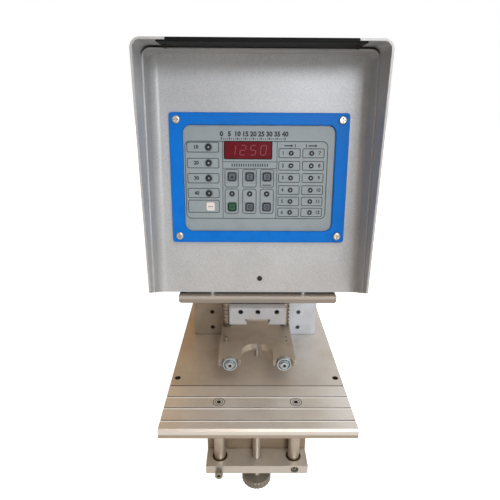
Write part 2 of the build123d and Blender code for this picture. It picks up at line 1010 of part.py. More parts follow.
def make_rail():
    """The right rail, grooved along both sides, with sunk screw holes."""
    rear = rail_front + rail_length
    low = rail_offset - rail_width / 2
    high = rail_offset + rail_width / 2
    top = base_top + rail_height
    rail = box_between(low, high, rail_front, rear, base_top, top)
    middle = base_top + rail_height / 2
    for side in (low, high):
        rail -= box_between(
            side - rail_groove_depth,
            side + rail_groove_depth,
            rail_front - overrun,
            rear + overrun,
            middle - rail_groove_height / 2,
            middle + rail_groove_height / 2,
        )
    for x, y in rail_screw_places():
        if x > 0:
            rail -= upright_rod(small_screw + 2 * screw_gap, x, y, base_top - overrun, top)
            sink = small_head + 2 * screw_gap
            rail -= upright_rod(sink, x, y, top - small_head_height - slide_gap, top + overrun)
    return rail


def make_bearing_blocks():
    """Four blocks that run on the rails and carry the carriage plate."""
    blocks = []
    low = base_top + block_bearing_lift
    half = block_bearing_width / 2
    for y in block_bearing_places:
        block = box_between(
            rail_offset - half,
            rail_offset + half,
            y - block_bearing_length / 2,
            y + block_bearing_length / 2,
            low,
            carriage_under,
        )
        block -= box_between(
            rail_offset - rail_width / 2 - slide_gap,
            rail_offset + rail_width / 2 + slide_gap,
            y - block_bearing_length,
            y + block_bearing_length,
            low - overrun,
            base_top + rail_height + slide_gap,
        )
        blocks += both_sides(block)
    return blocks


def make_frame_screws():
    """Screws of the static frame: rails and their stops, base plate, columns and bar."""
    screws = []
    top = base_top + rail_height
    rail_screw = cap_screw(small_screw, small_head, small_head_height, screw_bite)
    for x, y in rail_screw_places():
        screws.append(Pos(x, y, top - small_head_height - slide_gap) * rail_screw)
    for x, y in rail_stop_places():
        screws.append(Pos(x, y, base_top) * rail_screw)
    base_screw = pan_screw(
        medium_screw, medium_head, medium_head_height, base_thickness + screw_bite
    )
    for x, y in column_screw_places():
        screws.append(Pos(x, y, base_top) * base_screw)
    column_screw = cap_screw(large_screw, large_head, large_head_height, large_screw_grip)
    for x, y in column_screw_places():
        screws.append(Pos(x, y, bed_underside) * Rot(180, 0, 0) * column_screw)
    bar_screw = cap_screw(clamp_screw, clamp_head, clamp_head_height, bracket_plate + screw_bite)
    for x, z in bar_screw_places():
        place = Pos(x, bracket_face + bracket_plate, z) * Rot(-90, 0, 0)
        screws.append(place * bar_screw)
    return screws


def make_carriage_plate():
    """The plate on the bearing blocks, with a tab that the drive rod pushes."""
    plate = box_between(
        -carriage_half_width,
        carriage_half_width,
        carriage_front,
        carriage_rear,
        carriage_under,
        carriage_top,
    )
    plate += box_between(
        drive_offset - tab_width / 2,
        drive_offset + tab_width / 2,
        carriage_front + tab_margin,
        carriage_front + tab_margin + tab_thickness,
        carriage_top,
        base_top + drive_height + drive_radius,
    )
    low = carriage_under - overrun
    high = carriage_top + overrun
    plate -= upright_rod(pad_rod + 2 * running_gap, 0, pad_axis, low, high)
    for side in (-1, 1):
        plate -= upright_rod(
            guide_rod + 2 * running_gap, side * guide_rod_offset, pad_axis, low, high
        )
        plate -= upright_rod(
            hanger_rod + 2 * running_gap, side * hanger_offset, hanger_place, low, high
        )
    return plate


def make_drive_cylinder():
    """The horizontal cylinder: a bored tube on a foot, open for its rod at the front."""
    z = base_top + drive_height
    body = level_rod(2 * drive_radius, drive_offset, z, drive_front, drive_rear)
    body += box_between(
        drive_offset - drive_radius,
        drive_offset + drive_radius,
        drive_rear - drive_foot_length,
        drive_rear,
        base_top,
        z,
    )
    body -= level_rod(
        drive_bore, drive_offset, z, drive_front + drive_cap, drive_rear - drive_foot_length
    )
    body -= level_rod(
        drive_rod + 2 * running_gap, drive_offset, z, drive_front - overrun, drive_rear - drive_cap
    )
    for y in (drive_front + drive_cap + port_inset, drive_rear - drive_foot_length - port_inset):
        body -= upright_rod(port_diameter, drive_offset, y, z, z + 2 * drive_radius)
    return body


def make_drive_rod():
    """The drive cylinder's rod with its piston."""
    z = base_top + drive_height
    tab_rear = carriage_front + tab_margin + tab_thickness
    piston_rear = drive_rear - drive_foot_length - port_inset - port_diameter
    piston_front = piston_rear - piston_thickness
    rod = level_rod(drive_rod, drive_offset, z, tab_rear, piston_front)
    piston = level_rod(drive_bore - 2 * running_gap, drive_offset, z, piston_front, piston_rear)
    return rod + piston


def make_pad_cylinder():
    """The upright cylinder on the carriage, bored for the pad's piston."""
    half = pad_cylinder_width / 2
    top = carriage_top + pad_cylinder_height
    body = box_between(-half, half, pad_axis - half, pad_axis + half, carriage_top, top)
    body = fillet(body.edges().filter_by(Axis.Z), pad_cylinder_corner)
    low = carriage_top + pad_cylinder_end
    high = top - pad_cylinder_end
    body -= upright_rod(pad_cylinder_bore, 0, pad_axis, low, high)
    body -= upright_rod(
        pad_rod + 2 * running_gap, 0, pad_axis, carriage_top - overrun, carriage_top + pad_cylinder_end
    )
    for z in (low + port_inset, high - port_inset):
        body -= level_rod(port_diameter, 0, z, pad_axis, pad_axis + 2 * half)
    return body


# Pad arm and block


block_front = base_front - block_overhang
block_rear = block_front + block_depth
block_top = base_underside - block_top_gap
block_under = block_top - block_height
arm_top = block_top - arm_top_step
arm_under = arm_top - arm_thickness


def make_pad_block():
    """The block under the base plate: a dovetail groove takes the pad's holder."""
    block = box_between(
        -block_half_width, block_half_width, block_front, block_rear, block_under, block_top
    )
    mouth = dovetail_mouth / 2
    inner = dovetail_inner / 2
    flare = (inner - mouth) * overrun / dovetail_depth
    groove = [
        (-mouth + flare, block_under - overrun),
        (mouth - flare, block_under - overrun),
        (inner, block_under + dovetail_depth),
        (-inner, block_under + dovetail_depth),
    ]
    depth = block_depth + overrun
    block -= Pos(0, block_rear, 0) * extruded_outline(groove, Plane.XZ, depth)
    block -= Pos(0, block_rear + overrun, 0) * extruded_outline(groove, Plane.XZ, depth)
    z = block_top - block_hole_drop
    for x in block_hole_places:
        block -= level_rod(block_hole, x, z, block_front - overrun, block_rear + overrun)
    return block


def make_pad_arm():
    """The flat arm from the pad block back to the rods."""
    rear = pad_axis + arm_rear_margin
    arm = box_between(-arm_half_width, arm_half_width, block_rear, rear, arm_under, arm_top)
    z = block_top - block_hole_drop
    end = block_front + pad_screw_setback + pad_screw_length
    for x in block_hole_places:
        hole = block_hole - 2 * screw_gap
        arm -= level_rod(hole, x, z, block_rear - overrun, end + overrun)
    return arm


def make_pad_screws():
    """Three headless screws deep in the block's holes that hold it to the arm."""
    z = block_top - block_hole_drop
    start = block_front + pad_screw_setback
    screws = []
    for x in block_hole_places:
        diameter = block_hole - 4 * screw_gap
        screw = level_rod(diameter, x, z, start, start + pad_screw_length)
        socket = extrude(RegularPolygon(diameter / 4, 6), diameter / 2, both=True)
        screws.append(screw - Pos(x, start, z) * Rot(90, 0, 0) * socket)
    return screws


def make_pad_rods():
    """The pad's rod with its piston, and the two guide rods beside it."""
    piston_top = carriage_top + pad_cylinder_height - pad_cylinder_end - port_inset - port_diameter
    piston_low = piston_top - piston_thickness
    rod = upright_rod(pad_rod, 0, pad_axis, arm_top, piston_low)
    piston = upright_rod(
        pad_cylinder_bore - 2 * running_gap, 0, pad_axis, piston_low, piston_top
    )
    guide = upright_rod(
        guide_rod, guide_rod_offset, pad_axis, arm_top, arm_top + guide_rod_length
    )
    return [rod + piston] + both_sides(guide)


# Fork with its hangers, springs and rollers


fork_top = bed_top + fork_rise
fork_under = fork_top - fork_thickness
roller_height = (fork_top + fork_under) / 2
pocket_floor = fork_front + roller_pocket_depth
roller_rear = pocket_floor - roller_washer_thickness
roller_front = roller_rear - roller_width
axle_head_rear = roller_front - screw_gap


def make_fork_plate():
    """The yoke: a plate with a rounded mouth at the front and a roller pocket in each tip."""
    plate = box_between(
        -fork_half_width, fork_half_width, fork_front, fork_rear, fork_under, fork_top
    )
    plate = fillet(plate.edges().filter_by(Axis.Z), fork_corner)
    centre = fork_arch - fork_mouth_half_width
    low = fork_under - overrun
    high = fork_top + overrun
    plate -= upright_rod(2 * fork_mouth_half_width, 0, centre, low, high)
    plate -= box_between(
        -fork_mouth_half_width, fork_mouth_half_width, fork_front - overrun, centre, low, high
    )
    for side in (-1, 1):
        x = side * roller_offset
        plate -= level_rod(
            roller_pocket, x, roller_height, fork_front - overrun, pocket_floor
        )
        plate -= level_rod(
            axle_diameter + 2 * screw_gap,
            x,
            roller_height,
            fork_front,
            pocket_floor + axle_grip + overrun,
        )
    for x, y in peg_hole_places:
        plate -= upright_rod(peg_hole, x, y, fork_top - fork_thickness / 2, high)
    return plate


def make_hanger_rods():
    """Two rods that stand on the fork and hang by their heads on the carriage plate."""
    head_low = carriage_top + running_gap
    rod = upright_rod(hanger_rod, hanger_offset, hanger_place, fork_top, head_low)
    rod += upright_rod(
        hanger_head, hanger_offset, hanger_place, head_low, head_low + hanger_head_height
    )
    return both_sides(rod)


def make_fork_pins():
    """The collared pin on top of the fork and the stub under it."""
    x, y = upper_pin_place
    upper = upright_rod(upper_pin, x, y, fork_top, fork_top + upper_pin_height)
    upper += upright_rod(upper_pin_collar, x, y, fork_top, fork_top + upper_pin_collar_height)
    x, y = lower_pin_place
    lower = upright_rod(lower_pin, x, y, fork_under - lower_pin_length, fork_under)
    return [upper, lower]


def roller_axle(side):
    """The screw that a roller turns on, with the washer behind the roller."""
    x = side * roller_offset
    shank = level_rod(
        axle_diameter, x, roller_height, axle_head_rear, pocket_floor + axle_grip
    )
    head_front = axle_head_rear - axle_head_height
    head = level_rod(axle_head, x, roller_height, head_front, axle_head_rear)
    washer = level_rod(
        roller_washer, x, roller_height, roller_rear + running_gap, pocket_floor
    )
    socket = extrude(RegularPolygon(axle_socket / 2, 6), axle_socket_depth, both=True)
    socket = Pos(x, head_front, roller_height) * Rot(90, 0, 0) * socket
    return shank + head + washer - socket


def make_roller(side):
    """One roller, with a shallow ring groove in its front between the races."""
    x = side * roller_offset
    roller = level_rod(roller_diameter, x, roller_height, roller_front, roller_rear)
    roller -= level_rod(
        axle_diameter + 2 * running_gap,
        x,
        roller_height,
        roller_front - overrun,
        roller_rear + overrun,
    )
    floor = roller_front + roller_groove_depth
    ring = level_rod(roller_groove_outer, x, roller_height, roller_front - overrun, floor)
    ring -= level_rod(
        roller_groove_inner, x, roller_height, roller_front - 2 * overrun, floor + overrun
    )
    return roller - ring


def helix_point(radius, low, pitch, turn):
    """A point on a rising helix round Z, at a number of turns."""
    angle = 2 * math.pi * turn
    return Vector(radius * math.cos(angle), radius * math.sin(angle), low + pitch * turn)


def helix_direction(radius, pitch, turn):
    """The helix's unit direction at a number of turns."""
    angle = 2 * math.pi * turn
    run = 2 * math.pi * radius
    return Vector(-run * math.sin(angle), run * math.cos(angle), pitch).normalized()


def biarc(start, start_direction, end, end_direction):
    """Two arcs that leave start and reach end along the given directions."""
    chord = end - start
    total = start_direction + end_direction
    bend = 2 * (1 - start_direction.dot(end_direction))
    along = chord.dot(total)
    reach = (math.sqrt(along * along + bend * chord.dot(chord)) - along) / bend
    join = (start + start_direction * reach + end - end_direction * reach) / 2
    first = Edge.make_tangent_arc(start, start_direction, join)
    second = Edge.make_tangent_arc(join, first.tangent_at(1), end)
    return [first, second]


def make_spring():
    """One coil spring, a single wound wire between the fork and the carriage plate."""
    radius = (spring_outer - spring_wire) / 2
    low = fork_top + spring_wire / 2
    high = carriage_under - spring_wire / 2
    pitch = (high - low) / spring_turns
    steps = 4 * spring_turns
    edges = []
    for step in range(steps):
        turn = step / 4
        edges += biarc(
            helix_point(radius, low, pitch, turn),
            helix_direction(radius, pitch, turn),
            helix_point(radius, low, pitch, turn + 1 / 4),
            helix_direction(radius, pitch, turn + 1 / 4),
        )
    path = Wire(edges)
    section = Plane(origin=path.position_at(0), z_dir=path.tangent_at(0)) * Circle(spring_wire / 2)
    spring = sweep(section, path)
    return Pos(hanger_offset, hanger_place, 0) * spring, pitch


# Work table and its lift


def make_work_table():
    """The grooved table, level with the bed."""
    table = box_between(
        -table_width / 2, table_width / 2, table_front, table_rear, table_underside, bed_top
    )
    front_edge = table.edges().filter_by(Axis.X).group_by(Axis.Y)[0].sort_by(Axis.Z)[-1]
    table = chamfer(front_edge, table_chamfer)
    half = table_width / 2 + overrun
    for y in groove_places:
        table -= box_between(
            -half, half, y - groove_mouth / 2, y + groove_mouth / 2, bed_top - groove_lip, bed_top + overrun
        )
        table -= box_between(
            -half,
            half,
            y - groove_inner / 2,
            y + groove_inner / 2,
            bed_top - groove_depth,
            bed_top - groove_lip,
        )
    for side in (-1, 1):
        x = side * post_offset
        hole = table_screw + 2 * screw_gap
        table -= upright_rod(hole, x, post_place, table_underside - overrun, bed_top + overrun)
        table -= countersink(x, screw_gap)
    table -= upright_rod(
        lead_journal + 2 * running_gap,
        0,
        post_place,
        table_underside - overrun,
        table_underside + lead_journal_length + running_gap,
    )
    return table


def countersink(x, margin):
    """The cone of a sunk screw head, larger by the margin all round."""
    low = table_screw / 2 + margin
    high = table_screw_head / 2 + margin
    cone = Cone(low, high, table_screw_head_height)
    return Pos(x, post_place, bed_top - table_screw_head_height / 2) * cone


def make_table_screws():
    """Two sunk screws that hold the table on its posts."""
    screws = []
    for side in (-1, 1):
        x = side * post_offset
        screw = countersink(x, 0)
        screw += upright_rod(
            table_screw, x, post_place, bed_top - table_screw_length, bed_top - table_screw_head_height
        )
        socket = extrude(RegularPolygon(table_screw / 3, 6), table_screw_head_height / 2, both=True)
        screws.append(screw - Pos(x, post_place, bed_top) * socket)
    return screws


def make_guide_posts():
    """Two posts under the table that slide in the bar."""
    post = upright_rod(post_diameter, post_offset, post_place, bar_underside, table_underside)
    hole = table_screw + 2 * screw_gap
    low = bed_top - table_screw_length - overrun
    post -= upright_rod(hole, post_offset, post_place, low, table_underside + overrun)
    return both_sides(post)


def bar_screw_places():
    """The X and Z of the screws that hold the bar on its bracket."""
    x = post_offset / 2
    z = (bar_top + bar_underside) / 2
    return [(-x, z), (x, z)]


def make_lift_bar():
    """The bar that guides the posts and holds the lead screw's thread."""
    bar = box_between(
        -bar_half_width, bar_half_width, bar_front, bracket_face, bar_underside, bar_top
    )
    low = bar_underside - overrun
    high = bar_top + overrun
    bush = post_diameter + 2 * running_gap + 2 * bush_wall
    middle = (bar_top + bar_underside) / 2
    for side in (-1, 1):
        x = side * post_offset
        bar -= upright_rod(bush, x, post_place, low, high)
        hole = clamp_screw + 2 * screw_gap
        bar -= level_rod(hole, x, middle, bar_front - overrun, post_place - bush / 3)
    bar -= level_rod(
        clamp_hole, post_offset, middle, bar_front - overrun, bar_front + clamp_hole_depth
    )
    bar -= upright_rod(lead_diameter + 2 * running_gap, 0, post_place, low, high)
    for x, z in bar_screw_places():
        hole = clamp_screw + 2 * screw_gap
        bar -= level_rod(hole, x, z, bracket_face - screw_bite - overrun, bracket_face + overrun)
    return bar


def make_post_bushes():
    """The two bushes in the bar."""
    inner = post_diameter + 2 * running_gap
    bush = upright_rod(inner + 2 * bush_wall, post_offset, post_place, bar_underside, bar_top)
    bush -= upright_rod(
        inner, post_offset, post_place, bar_underside - overrun, bar_top + overrun
    )
    return both_sides(bush)


def make_clamp_screws():
    """The clamping screws in the bar's front: one stands out, the other is sunk."""
    middle = (bar_top + bar_underside) / 2
    bush = post_diameter / 2 + running_gap + bush_wall
    tip = post_place - bush - screw_gap
    out = cap_screw(clamp_screw, clamp_head, clamp_head_height, tip - bar_front + clamp_neck)
    place = Pos(-post_offset, bar_front - clamp_neck, middle) * Rot(90, 0, 0)
    sunk = level_rod(clamp_screw, post_offset, middle, bar_front + clamp_hole_depth / 2, tip)
    socket = extrude(RegularPolygon(clamp_screw / 4, 6), clamp_screw / 2, both=True)
    sunk -= Pos(post_offset, bar_front + clamp_hole_depth / 2, middle) * Rot(90, 0, 0) * socket
    return [place * out, sunk]


def make_lift_bracket():
    """The upright plate behind the bar with two arms back to the pedestal."""
    rear = bracket_face + bracket_plate
    bracket = box_between(
        -bar_half_width, bar_half_width, bracket_face, rear, bar_underside, bracket_top
    )
    inner = bar_half_width - bracket_arm
    arm = box_between(inner, bar_half_width, rear, pedestal_front_face, bar_underside, bracket_top)
    for side in both_sides(arm):
        bracket += side
    for x, z in bar_screw_places():
        hole = clamp_screw + 2 * screw_gap
        bracket -= level_rod(hole, x, z, bracket_face - overrun, rear + overrun)
    return bracket


def make_lead_screw():
    """The lead screw under the table, with a journal that turns in the table."""
    low = knob_top - knob_thickness - lead_tip
    screw = upright_rod(lead_diameter, 0, post_place, low, table_underside - slide_gap)
    screw += upright_rod(
        lead_journal,
        0,
        post_place,
        table_underside - slide_gap,
        table_underside + lead_journal_length,
    )
    return chamfer(screw.edges().group_by(Axis.Z)[0], lead_tip / 2)


def make_knob():
    """The fluted knob near the lead screw's lower end."""
    low = knob_top - knob_thickness
    knob = upright_rod(knob_diameter, 0, post_place, low, knob_top)
    knob = chamfer(knob.edges().filter_by(GeomType.CIRCLE), knob_edge)
    for index in range(knob_flutes):
        angle = 2 * math.pi * index / knob_flutes
        x = knob_diameter / 2 * math.cos(angle)
        y = post_place + knob_diameter / 2 * math.sin(angle)
        knob -= upright_rod(2 * knob_flute_radius, x, y, low - overrun, knob_top + overrun)
    knob -= upright_rod(
        lead_diameter + 2 * running_gap, 0, post_place, low - overrun, knob_top + overrun
    )
    return knob


# Electrical and air pieces


def make_power_supply():
    """The power supply's case on the left side panel."""
    low = base_top + supply_rise
    return box_between(
        -hood_inner_half,
        -hood_inner_half + supply_width,
        supply_front,
        supply_front + supply_length,
        low,
        low + supply_height,
    )


def make_valve_block():
    """A manifold on the right side panel with two valves on it."""
    low = base_top + valve_rise
    near = hood_inner_half - valve_width
    pieces = [
        box_between(
            near, hood_inner_half, valve_front, valve_front + valve_length, low, low + valve_base_height
        )
    ]
    for y in (valve_front, valve_front + valve_length - valve_body_length):
        pieces.append(
            box_between(
                near,
                hood_inner_half,
                y,
                y + valve_body_length,
                low + valve_base_height,
                low + valve_base_height + valve_body_height,
            )
        )
    return pieces


inlet_face = hood_rear + rear_cover_thickness + inlet_flange_thickness
inlet_middle = base_top + inlet_rise
socket_middle = inlet_middle - inlet_socket_drop
rocker_middle = inlet_middle + rocker_rise


def rocker_pivot(diameter, reach):
    """The round bar along X that the rocker turns on, with its reach past the rocker's sides."""
    place = Pos(inlet_place, hood_rear, rocker_middle) * Rot(0, 90, 0)
    return place * Cylinder(diameter / 2, rocker_width + 2 * reach)


def make_power_inlet():
    """The mains inlet at the back, with three pins in its socket and room for the rocker."""
    half_width = inlet_flange_width / 2
    half_height = inlet_flange_height / 2
    body = box_between(
        inlet_place - half_width,
        inlet_place + half_width,
        inlet_face - inlet_flange_thickness,
        inlet_face,
        inlet_middle - half_height,
        inlet_middle + half_height,
    )
    body += box_between(
        inlet_place - inlet_body_width / 2,
        inlet_place + inlet_body_width / 2,
        inlet_face - inlet_body_depth,
        inlet_face,
        inlet_middle - inlet_body_height / 2,
        inlet_middle + inlet_body_height / 2,
    )
    body -= box_between(
        inlet_place - inlet_socket_width / 2,
        inlet_place + inlet_socket_width / 2,
        inlet_face - inlet_socket_depth,
        inlet_face + overrun,
        socket_middle - inlet_socket_height / 2,
        socket_middle + inlet_socket_height / 2,
    )
    body -= box_between(
        inlet_place - rocker_width / 2 - rocker_gap,
        inlet_place + rocker_width / 2 + rocker_gap,
        inlet_face - rocker_depth - rocker_gap - rocker_well_spare,
        inlet_face + overrun,
        rocker_middle - rocker_height / 2 - rocker_gap,
        rocker_middle + rocker_height / 2 + rocker_gap,
    )
    body -= rocker_pivot(rocker_pin + 2 * running_gap, rocker_pin_reach + running_gap)
    floor = inlet_face - inlet_socket_depth
    for step, rise in ((-1, 0), (0, 1), (1, 0)):
        x = inlet_place + step * inlet_pin_spacing
        z = socket_middle + rise * inlet_pin_step
        body += box_between(
            x - inlet_pin_thickness / 2,
            x + inlet_pin_thickness / 2,
            floor,
            floor + inlet_pin_length,
            z - inlet_pin_width / 2,
            z + inlet_pin_width / 2,
        )
    return body


def make_power_rocker():
    """The rocker of the power switch, slightly hollow across its face."""
    rocker = box_between(
        inlet_place - rocker_width / 2,
        inlet_place + rocker_width / 2,
        inlet_face - rocker_depth,
        inlet_face + rocker_gap,
        rocker_middle - rocker_height / 2,
        rocker_middle + rocker_height / 2,
    )
    hollow_radius = rocker_hollow_share * rocker_height
    hollow = Pos(inlet_place, inlet_face + hollow_radius, rocker_middle) * Rot(0, 90, 0)
    rocker -= hollow * Cylinder(hollow_radius, 2 * rocker_width)
    return rocker + rocker_pivot(rocker_pin, rocker_pin_reach)


def fitting_places():
    """The X and Z of the air fittings in the rear cover."""
    places = [(fitting_place, base_top + rise) for rise in fitting_rises]
    return places + [(silencer_place, base_top + fitting_rises[0])]


def make_air_fittings():
    """Two push-in fittings for the air hoses, and a silencer."""
    face = hood_rear + rear_cover_thickness
    fittings = []
    places = fitting_places()
    for x, z in places[:-1]:
        end = face + fitting_length
        fitting = level_rod(fitting_body, x, z, face, end)
        fitting += level_rod(fitting_thread, x, z, hood_rear - fitting_body, face)
        fitting -= level_rod(fitting_bore, x, z, end - fitting_bore_depth, end + overrun)
        fittings.append(fitting)
    x, z = places[-1]
    silencer = level_rod(fitting_body, x, z, face, face + silencer_length)
    silencer = fillet(silencer.edges().group_by(Axis.Y)[-1], fitting_body / 4)
    silencer += level_rod(fitting_thread, x, z, hood_rear - fitting_body, face)
    fittings.append(silencer)
    return fittings


# Writing the nodes

save("foot_plate", make_foot_plate())
pedestal_right, pedestal_left = both_sides(make_pedestal_cheek())
save("pedestal_right", pedestal_right)
save("pedestal_left", pedestal_left)
save("pedestal_front", make_pedestal_front())
save("bed_plate", make_bed_plate())
column_right, column_left = both_sides(make_column())
save("column_right", column_right)
save("column_left", column_left)
save("head_base_plate", make_head_base_plate())
hood_right_panel, hood_left_panel = both_sides(make_side_panel())
save("hood_right_panel", hood_right_panel)
save("hood_left_panel", hood_left_panel)
save("hood_top_cover", make_top_cover())
save("hood_rear_cover", make_rear_cover())
save("hood_screws", *make_hood_screws())
save("face_panel", make_face_panel())
save("bezel_frame", make_bezel())
save("bezel_screws", *make_bezel_screws())
save("overlay", make_overlay())
save("display_window", make_display_window())
save("indicator_lamps", *make_lamps())
save("control_board", *make_board())
save("board_standoffs", *make_standoffs())
for key_name, key_place in key_places().items():
    save(key_name, make_key(*key_place))
save("carriage_rails", *both_sides(make_rail()))
save("frame_screws", *make_frame_screws())
save("bearing_blocks", *make_bearing_blocks())
save("carriage_plate", make_carriage_plate())
save("carriage_cylinder", make_drive_cylinder())
save("carriage_rod", make_drive_rod())
save("pad_cylinder", make_pad_cylinder())
save("pad_rods", *make_pad_rods())
save("pad_arm", make_pad_arm())
save("pad_block", make_pad_block())
save("pad_screws", *make_pad_screws())
save("fork_plate", make_fork_plate())
save("hanger_rods", *make_hanger_rods())
fork_spring, spring_pitch = make_spring()
save("fork_springs", *both_sides(fork_spring))
print("spring: least gap between turns", round(spring_pitch - spring_wire, 2))
save("fork_pins", *make_fork_pins())
save("roller_axles", roller_axle(-1), roller_axle(1))
save("roller_left", make_roller(-1))
save("roller_right", make_roller(1))
save("work_table", make_work_table())
save("table_screws", *make_table_screws())
save("guide_posts", *make_guide_posts())
save("lift_bar", make_lift_bar())
save("post_bushes", *make_post_bushes())
save("clamp_screws", *make_clamp_screws())
save("lift_bracket", make_lift_bracket())
save("lead_screw", make_lead_screw())
save("knob", make_knob())
save("power_supply", make_power_supply())
save("valve_block", *make_valve_block())
save("power_inlet", make_power_inlet())
save("power_rocker", make_power_rocker())
save("air_fittings", *make_air_fittings())
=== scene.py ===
import math

import bmesh
import bpy
from mathutils import Matrix, Vector


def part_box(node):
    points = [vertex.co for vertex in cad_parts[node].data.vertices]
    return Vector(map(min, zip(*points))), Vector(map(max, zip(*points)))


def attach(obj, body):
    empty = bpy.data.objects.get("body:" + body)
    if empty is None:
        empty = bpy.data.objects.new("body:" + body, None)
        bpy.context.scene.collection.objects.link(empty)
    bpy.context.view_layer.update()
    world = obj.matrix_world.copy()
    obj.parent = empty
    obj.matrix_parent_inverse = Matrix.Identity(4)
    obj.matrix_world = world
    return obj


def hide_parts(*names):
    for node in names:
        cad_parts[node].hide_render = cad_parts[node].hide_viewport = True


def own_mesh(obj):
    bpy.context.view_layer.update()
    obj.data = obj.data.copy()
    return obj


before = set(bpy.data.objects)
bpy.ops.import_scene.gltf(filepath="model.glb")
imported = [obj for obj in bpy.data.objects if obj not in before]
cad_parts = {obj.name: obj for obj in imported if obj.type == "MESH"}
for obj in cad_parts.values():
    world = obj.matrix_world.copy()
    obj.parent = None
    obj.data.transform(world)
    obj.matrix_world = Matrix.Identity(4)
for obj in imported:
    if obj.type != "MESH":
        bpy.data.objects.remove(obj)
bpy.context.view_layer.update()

# A bench pad printing machine in its studio. Lengths are in millimetres where a name says mm,
# and otherwise in metres, as Blender and the frame use.
MM = 0.001

# Camera
CAMERA_PLACE_MM = (-12.27, -485.46, 467.28)
CAMERA_PITCH = math.radians(18.922)
CAMERA_YAW = math.radians(0.488)
CAMERA_ROLL = math.radians(0.365)
CAMERA_FOCAL_PIXELS = 412.55
IMAGE_SIDE_PIXELS = 500
SENSOR_MM = 36.0

# Control panel, measured from the middle of the bezel's opening
FACE_TILT = math.radians(5.5)
OVERLAY_MM = 0.6
KEY_RISE_MM = 0.6
INK_MM = 0.06
LINE_MM = 0.65
DISPLAY_MM = (-35.3, 12.8, 20.8, 37.8)
KEY_COLUMNS_MM = (-27.6, -9.4, 8.3)
UPPER_KEY_MM = 2.8
LOWER_KEY_MM = -28.3
SIDE_KEY_MM = (-50.0, -28.0)
SIDE_LAMP_MM = -51.3
SIDE_LAMP_ROWS_MM = (32.2, 16.5, 1.2, -14.2)
LOWER_LAMP_MM = -14.6
PORT_COLUMNS_MM = (32.6, 53.4)
PORT_ROWS_MM = (26.6, 14.1, 1.85, -10.6, -22.3, -33.8)


# Colours and nodes


def hex_colour(text, alpha=1.0):
    """Turns an sRGB hex colour into linear RGBA."""
    parts = [int(text[i:i + 2], 16) / 255 for i in (1, 3, 5)]
    linear = [p / 12.92 if p <= 0.04045 else ((p + 0.055) / 1.055) ** 2.4 for p in parts]
    return (*linear, alpha)


def add_node(tree, kind, settings=None, inputs=None):
    """Adds a node, applies its settings, and gives its inputs values or links."""
    node = tree.nodes.new(kind)
    for name, value in (settings or {}).items():
        setattr(node, name, value)
    for key, value in (inputs or {}).items():
        if isinstance(value, bpy.types.NodeSocket):
            tree.links.new(value, node.inputs[key])
        else:
            node.inputs[key].default_value = value
    return node


def new_finish(name):
    """An empty material and its node tree."""
    material = bpy.data.materials.new(name)
    material.use_nodes = True
    material.node_tree.nodes.clear()
    return material, material.node_tree


def two_tones(tree, factor, low, high, start=0.3, end=0.7):
    """A colour that runs from one hex tone to another as a factor rises."""
    ramp = add_node(tree, "ShaderNodeValToRGB", inputs={"Fac": factor})
    ramp.color_ramp.elements[0].position = start
    ramp.color_ramp.elements[0].color = hex_colour(low)
    ramp.color_ramp.elements[1].position = end
    ramp.color_ramp.elements[1].color = hex_colour(high)
    return ramp.outputs["Color"]


def per_mm(size):
    """The scale of a pattern whose features are so many millimetres wide."""
    return 1 / (size * MM)


def close_finish(tree, relief, strength, relief_mm, edge_mm, surface):
    """Ends a material: softened edges, a fine relief, the shader and the output."""
    soft_edge = add_node(tree, "ShaderNodeBevel", {"samples": 4}, {"Radius": edge_mm * MM})
    skin = add_node(
        tree, "ShaderNodeBump",
        inputs={"Height": relief, "Strength": strength, "Distance": relief_mm * MM,
                "Normal": soft_edge.outputs["Normal"]},
    )
    shader = add_node(
        tree, "ShaderNodeBsdfPrincipled", inputs={**surface, "Normal": skin.outputs["Normal"]}
    )
    add_node(tree, "ShaderNodeOutputMaterial", inputs={"Surface": shader.outputs["BSDF"]})


def painted_sheet(
    name, low, high, fleck, grain=1.3, rough=(0.36, 0.5), metallic=0.25, orange_peel=0.05, mirror=0.5
):
    """Powder coat on bent sheet steel: fine mica flecks in a satin coat with slight orange peel."""
    material, tree = new_finish(name)
    place = add_node(tree, "ShaderNodeTexCoord").outputs["Object"]
    grains = add_node(
        tree, "ShaderNodeTexNoise",
        inputs={"Vector": place, "Scale": per_mm(grain), "Detail": 3.0, "Roughness": 0.7},
    )
    clouds = add_node(
        tree, "ShaderNodeTexNoise",
        inputs={"Vector": place, "Scale": per_mm(38), "Detail": 3.0, "Roughness": 0.55},
    )
    flecks = add_node(
        tree, "ShaderNodeTexNoise",
        inputs={"Vector": place, "Scale": per_mm(0.8), "Detail": 1.0, "Roughness": 0.5},
    )
    base = two_tones(tree, grains.outputs["Fac"], low, high, 0.36, 0.64)
    fleck_mask = add_node(
        tree, "ShaderNodeMapRange",
        inputs={"Value": flecks.outputs["Fac"], "From Min": 0.6, "From Max": 0.72, "To Max": 0.55},
    )
    flecked = add_node(
        tree, "ShaderNodeMix", {"data_type": "RGBA"},
        {"Factor": fleck_mask.outputs["Result"], "A": base, "B": hex_colour(fleck)},
    )
    shade = add_node(
        tree, "ShaderNodeMapRange",
        inputs={"Value": clouds.outputs["Fac"], "From Min": 0.3, "From Max": 0.7,
                "To Min": 0.93, "To Max": 1.04},
    )
    tinted = add_node(
        tree, "ShaderNodeVectorMath", {"operation": "SCALE"},
        {0: flecked.outputs["Result"], "Scale": shade.outputs["Result"]},
    )
    gloss = add_node(
        tree, "ShaderNodeMapRange",
        inputs={"Value": clouds.outputs["Fac"], "To Min": rough[0], "To Max": rough[1]},
    )
    close_finish(
        tree, grains.outputs["Fac"], 0.5, orange_peel, 0.5,
        {"Base Color": tinted.outputs["Vector"], "Metallic": metallic, "Specular IOR Level": mirror,
         "Roughness": gloss.outputs["Result"]},
    )
    return material


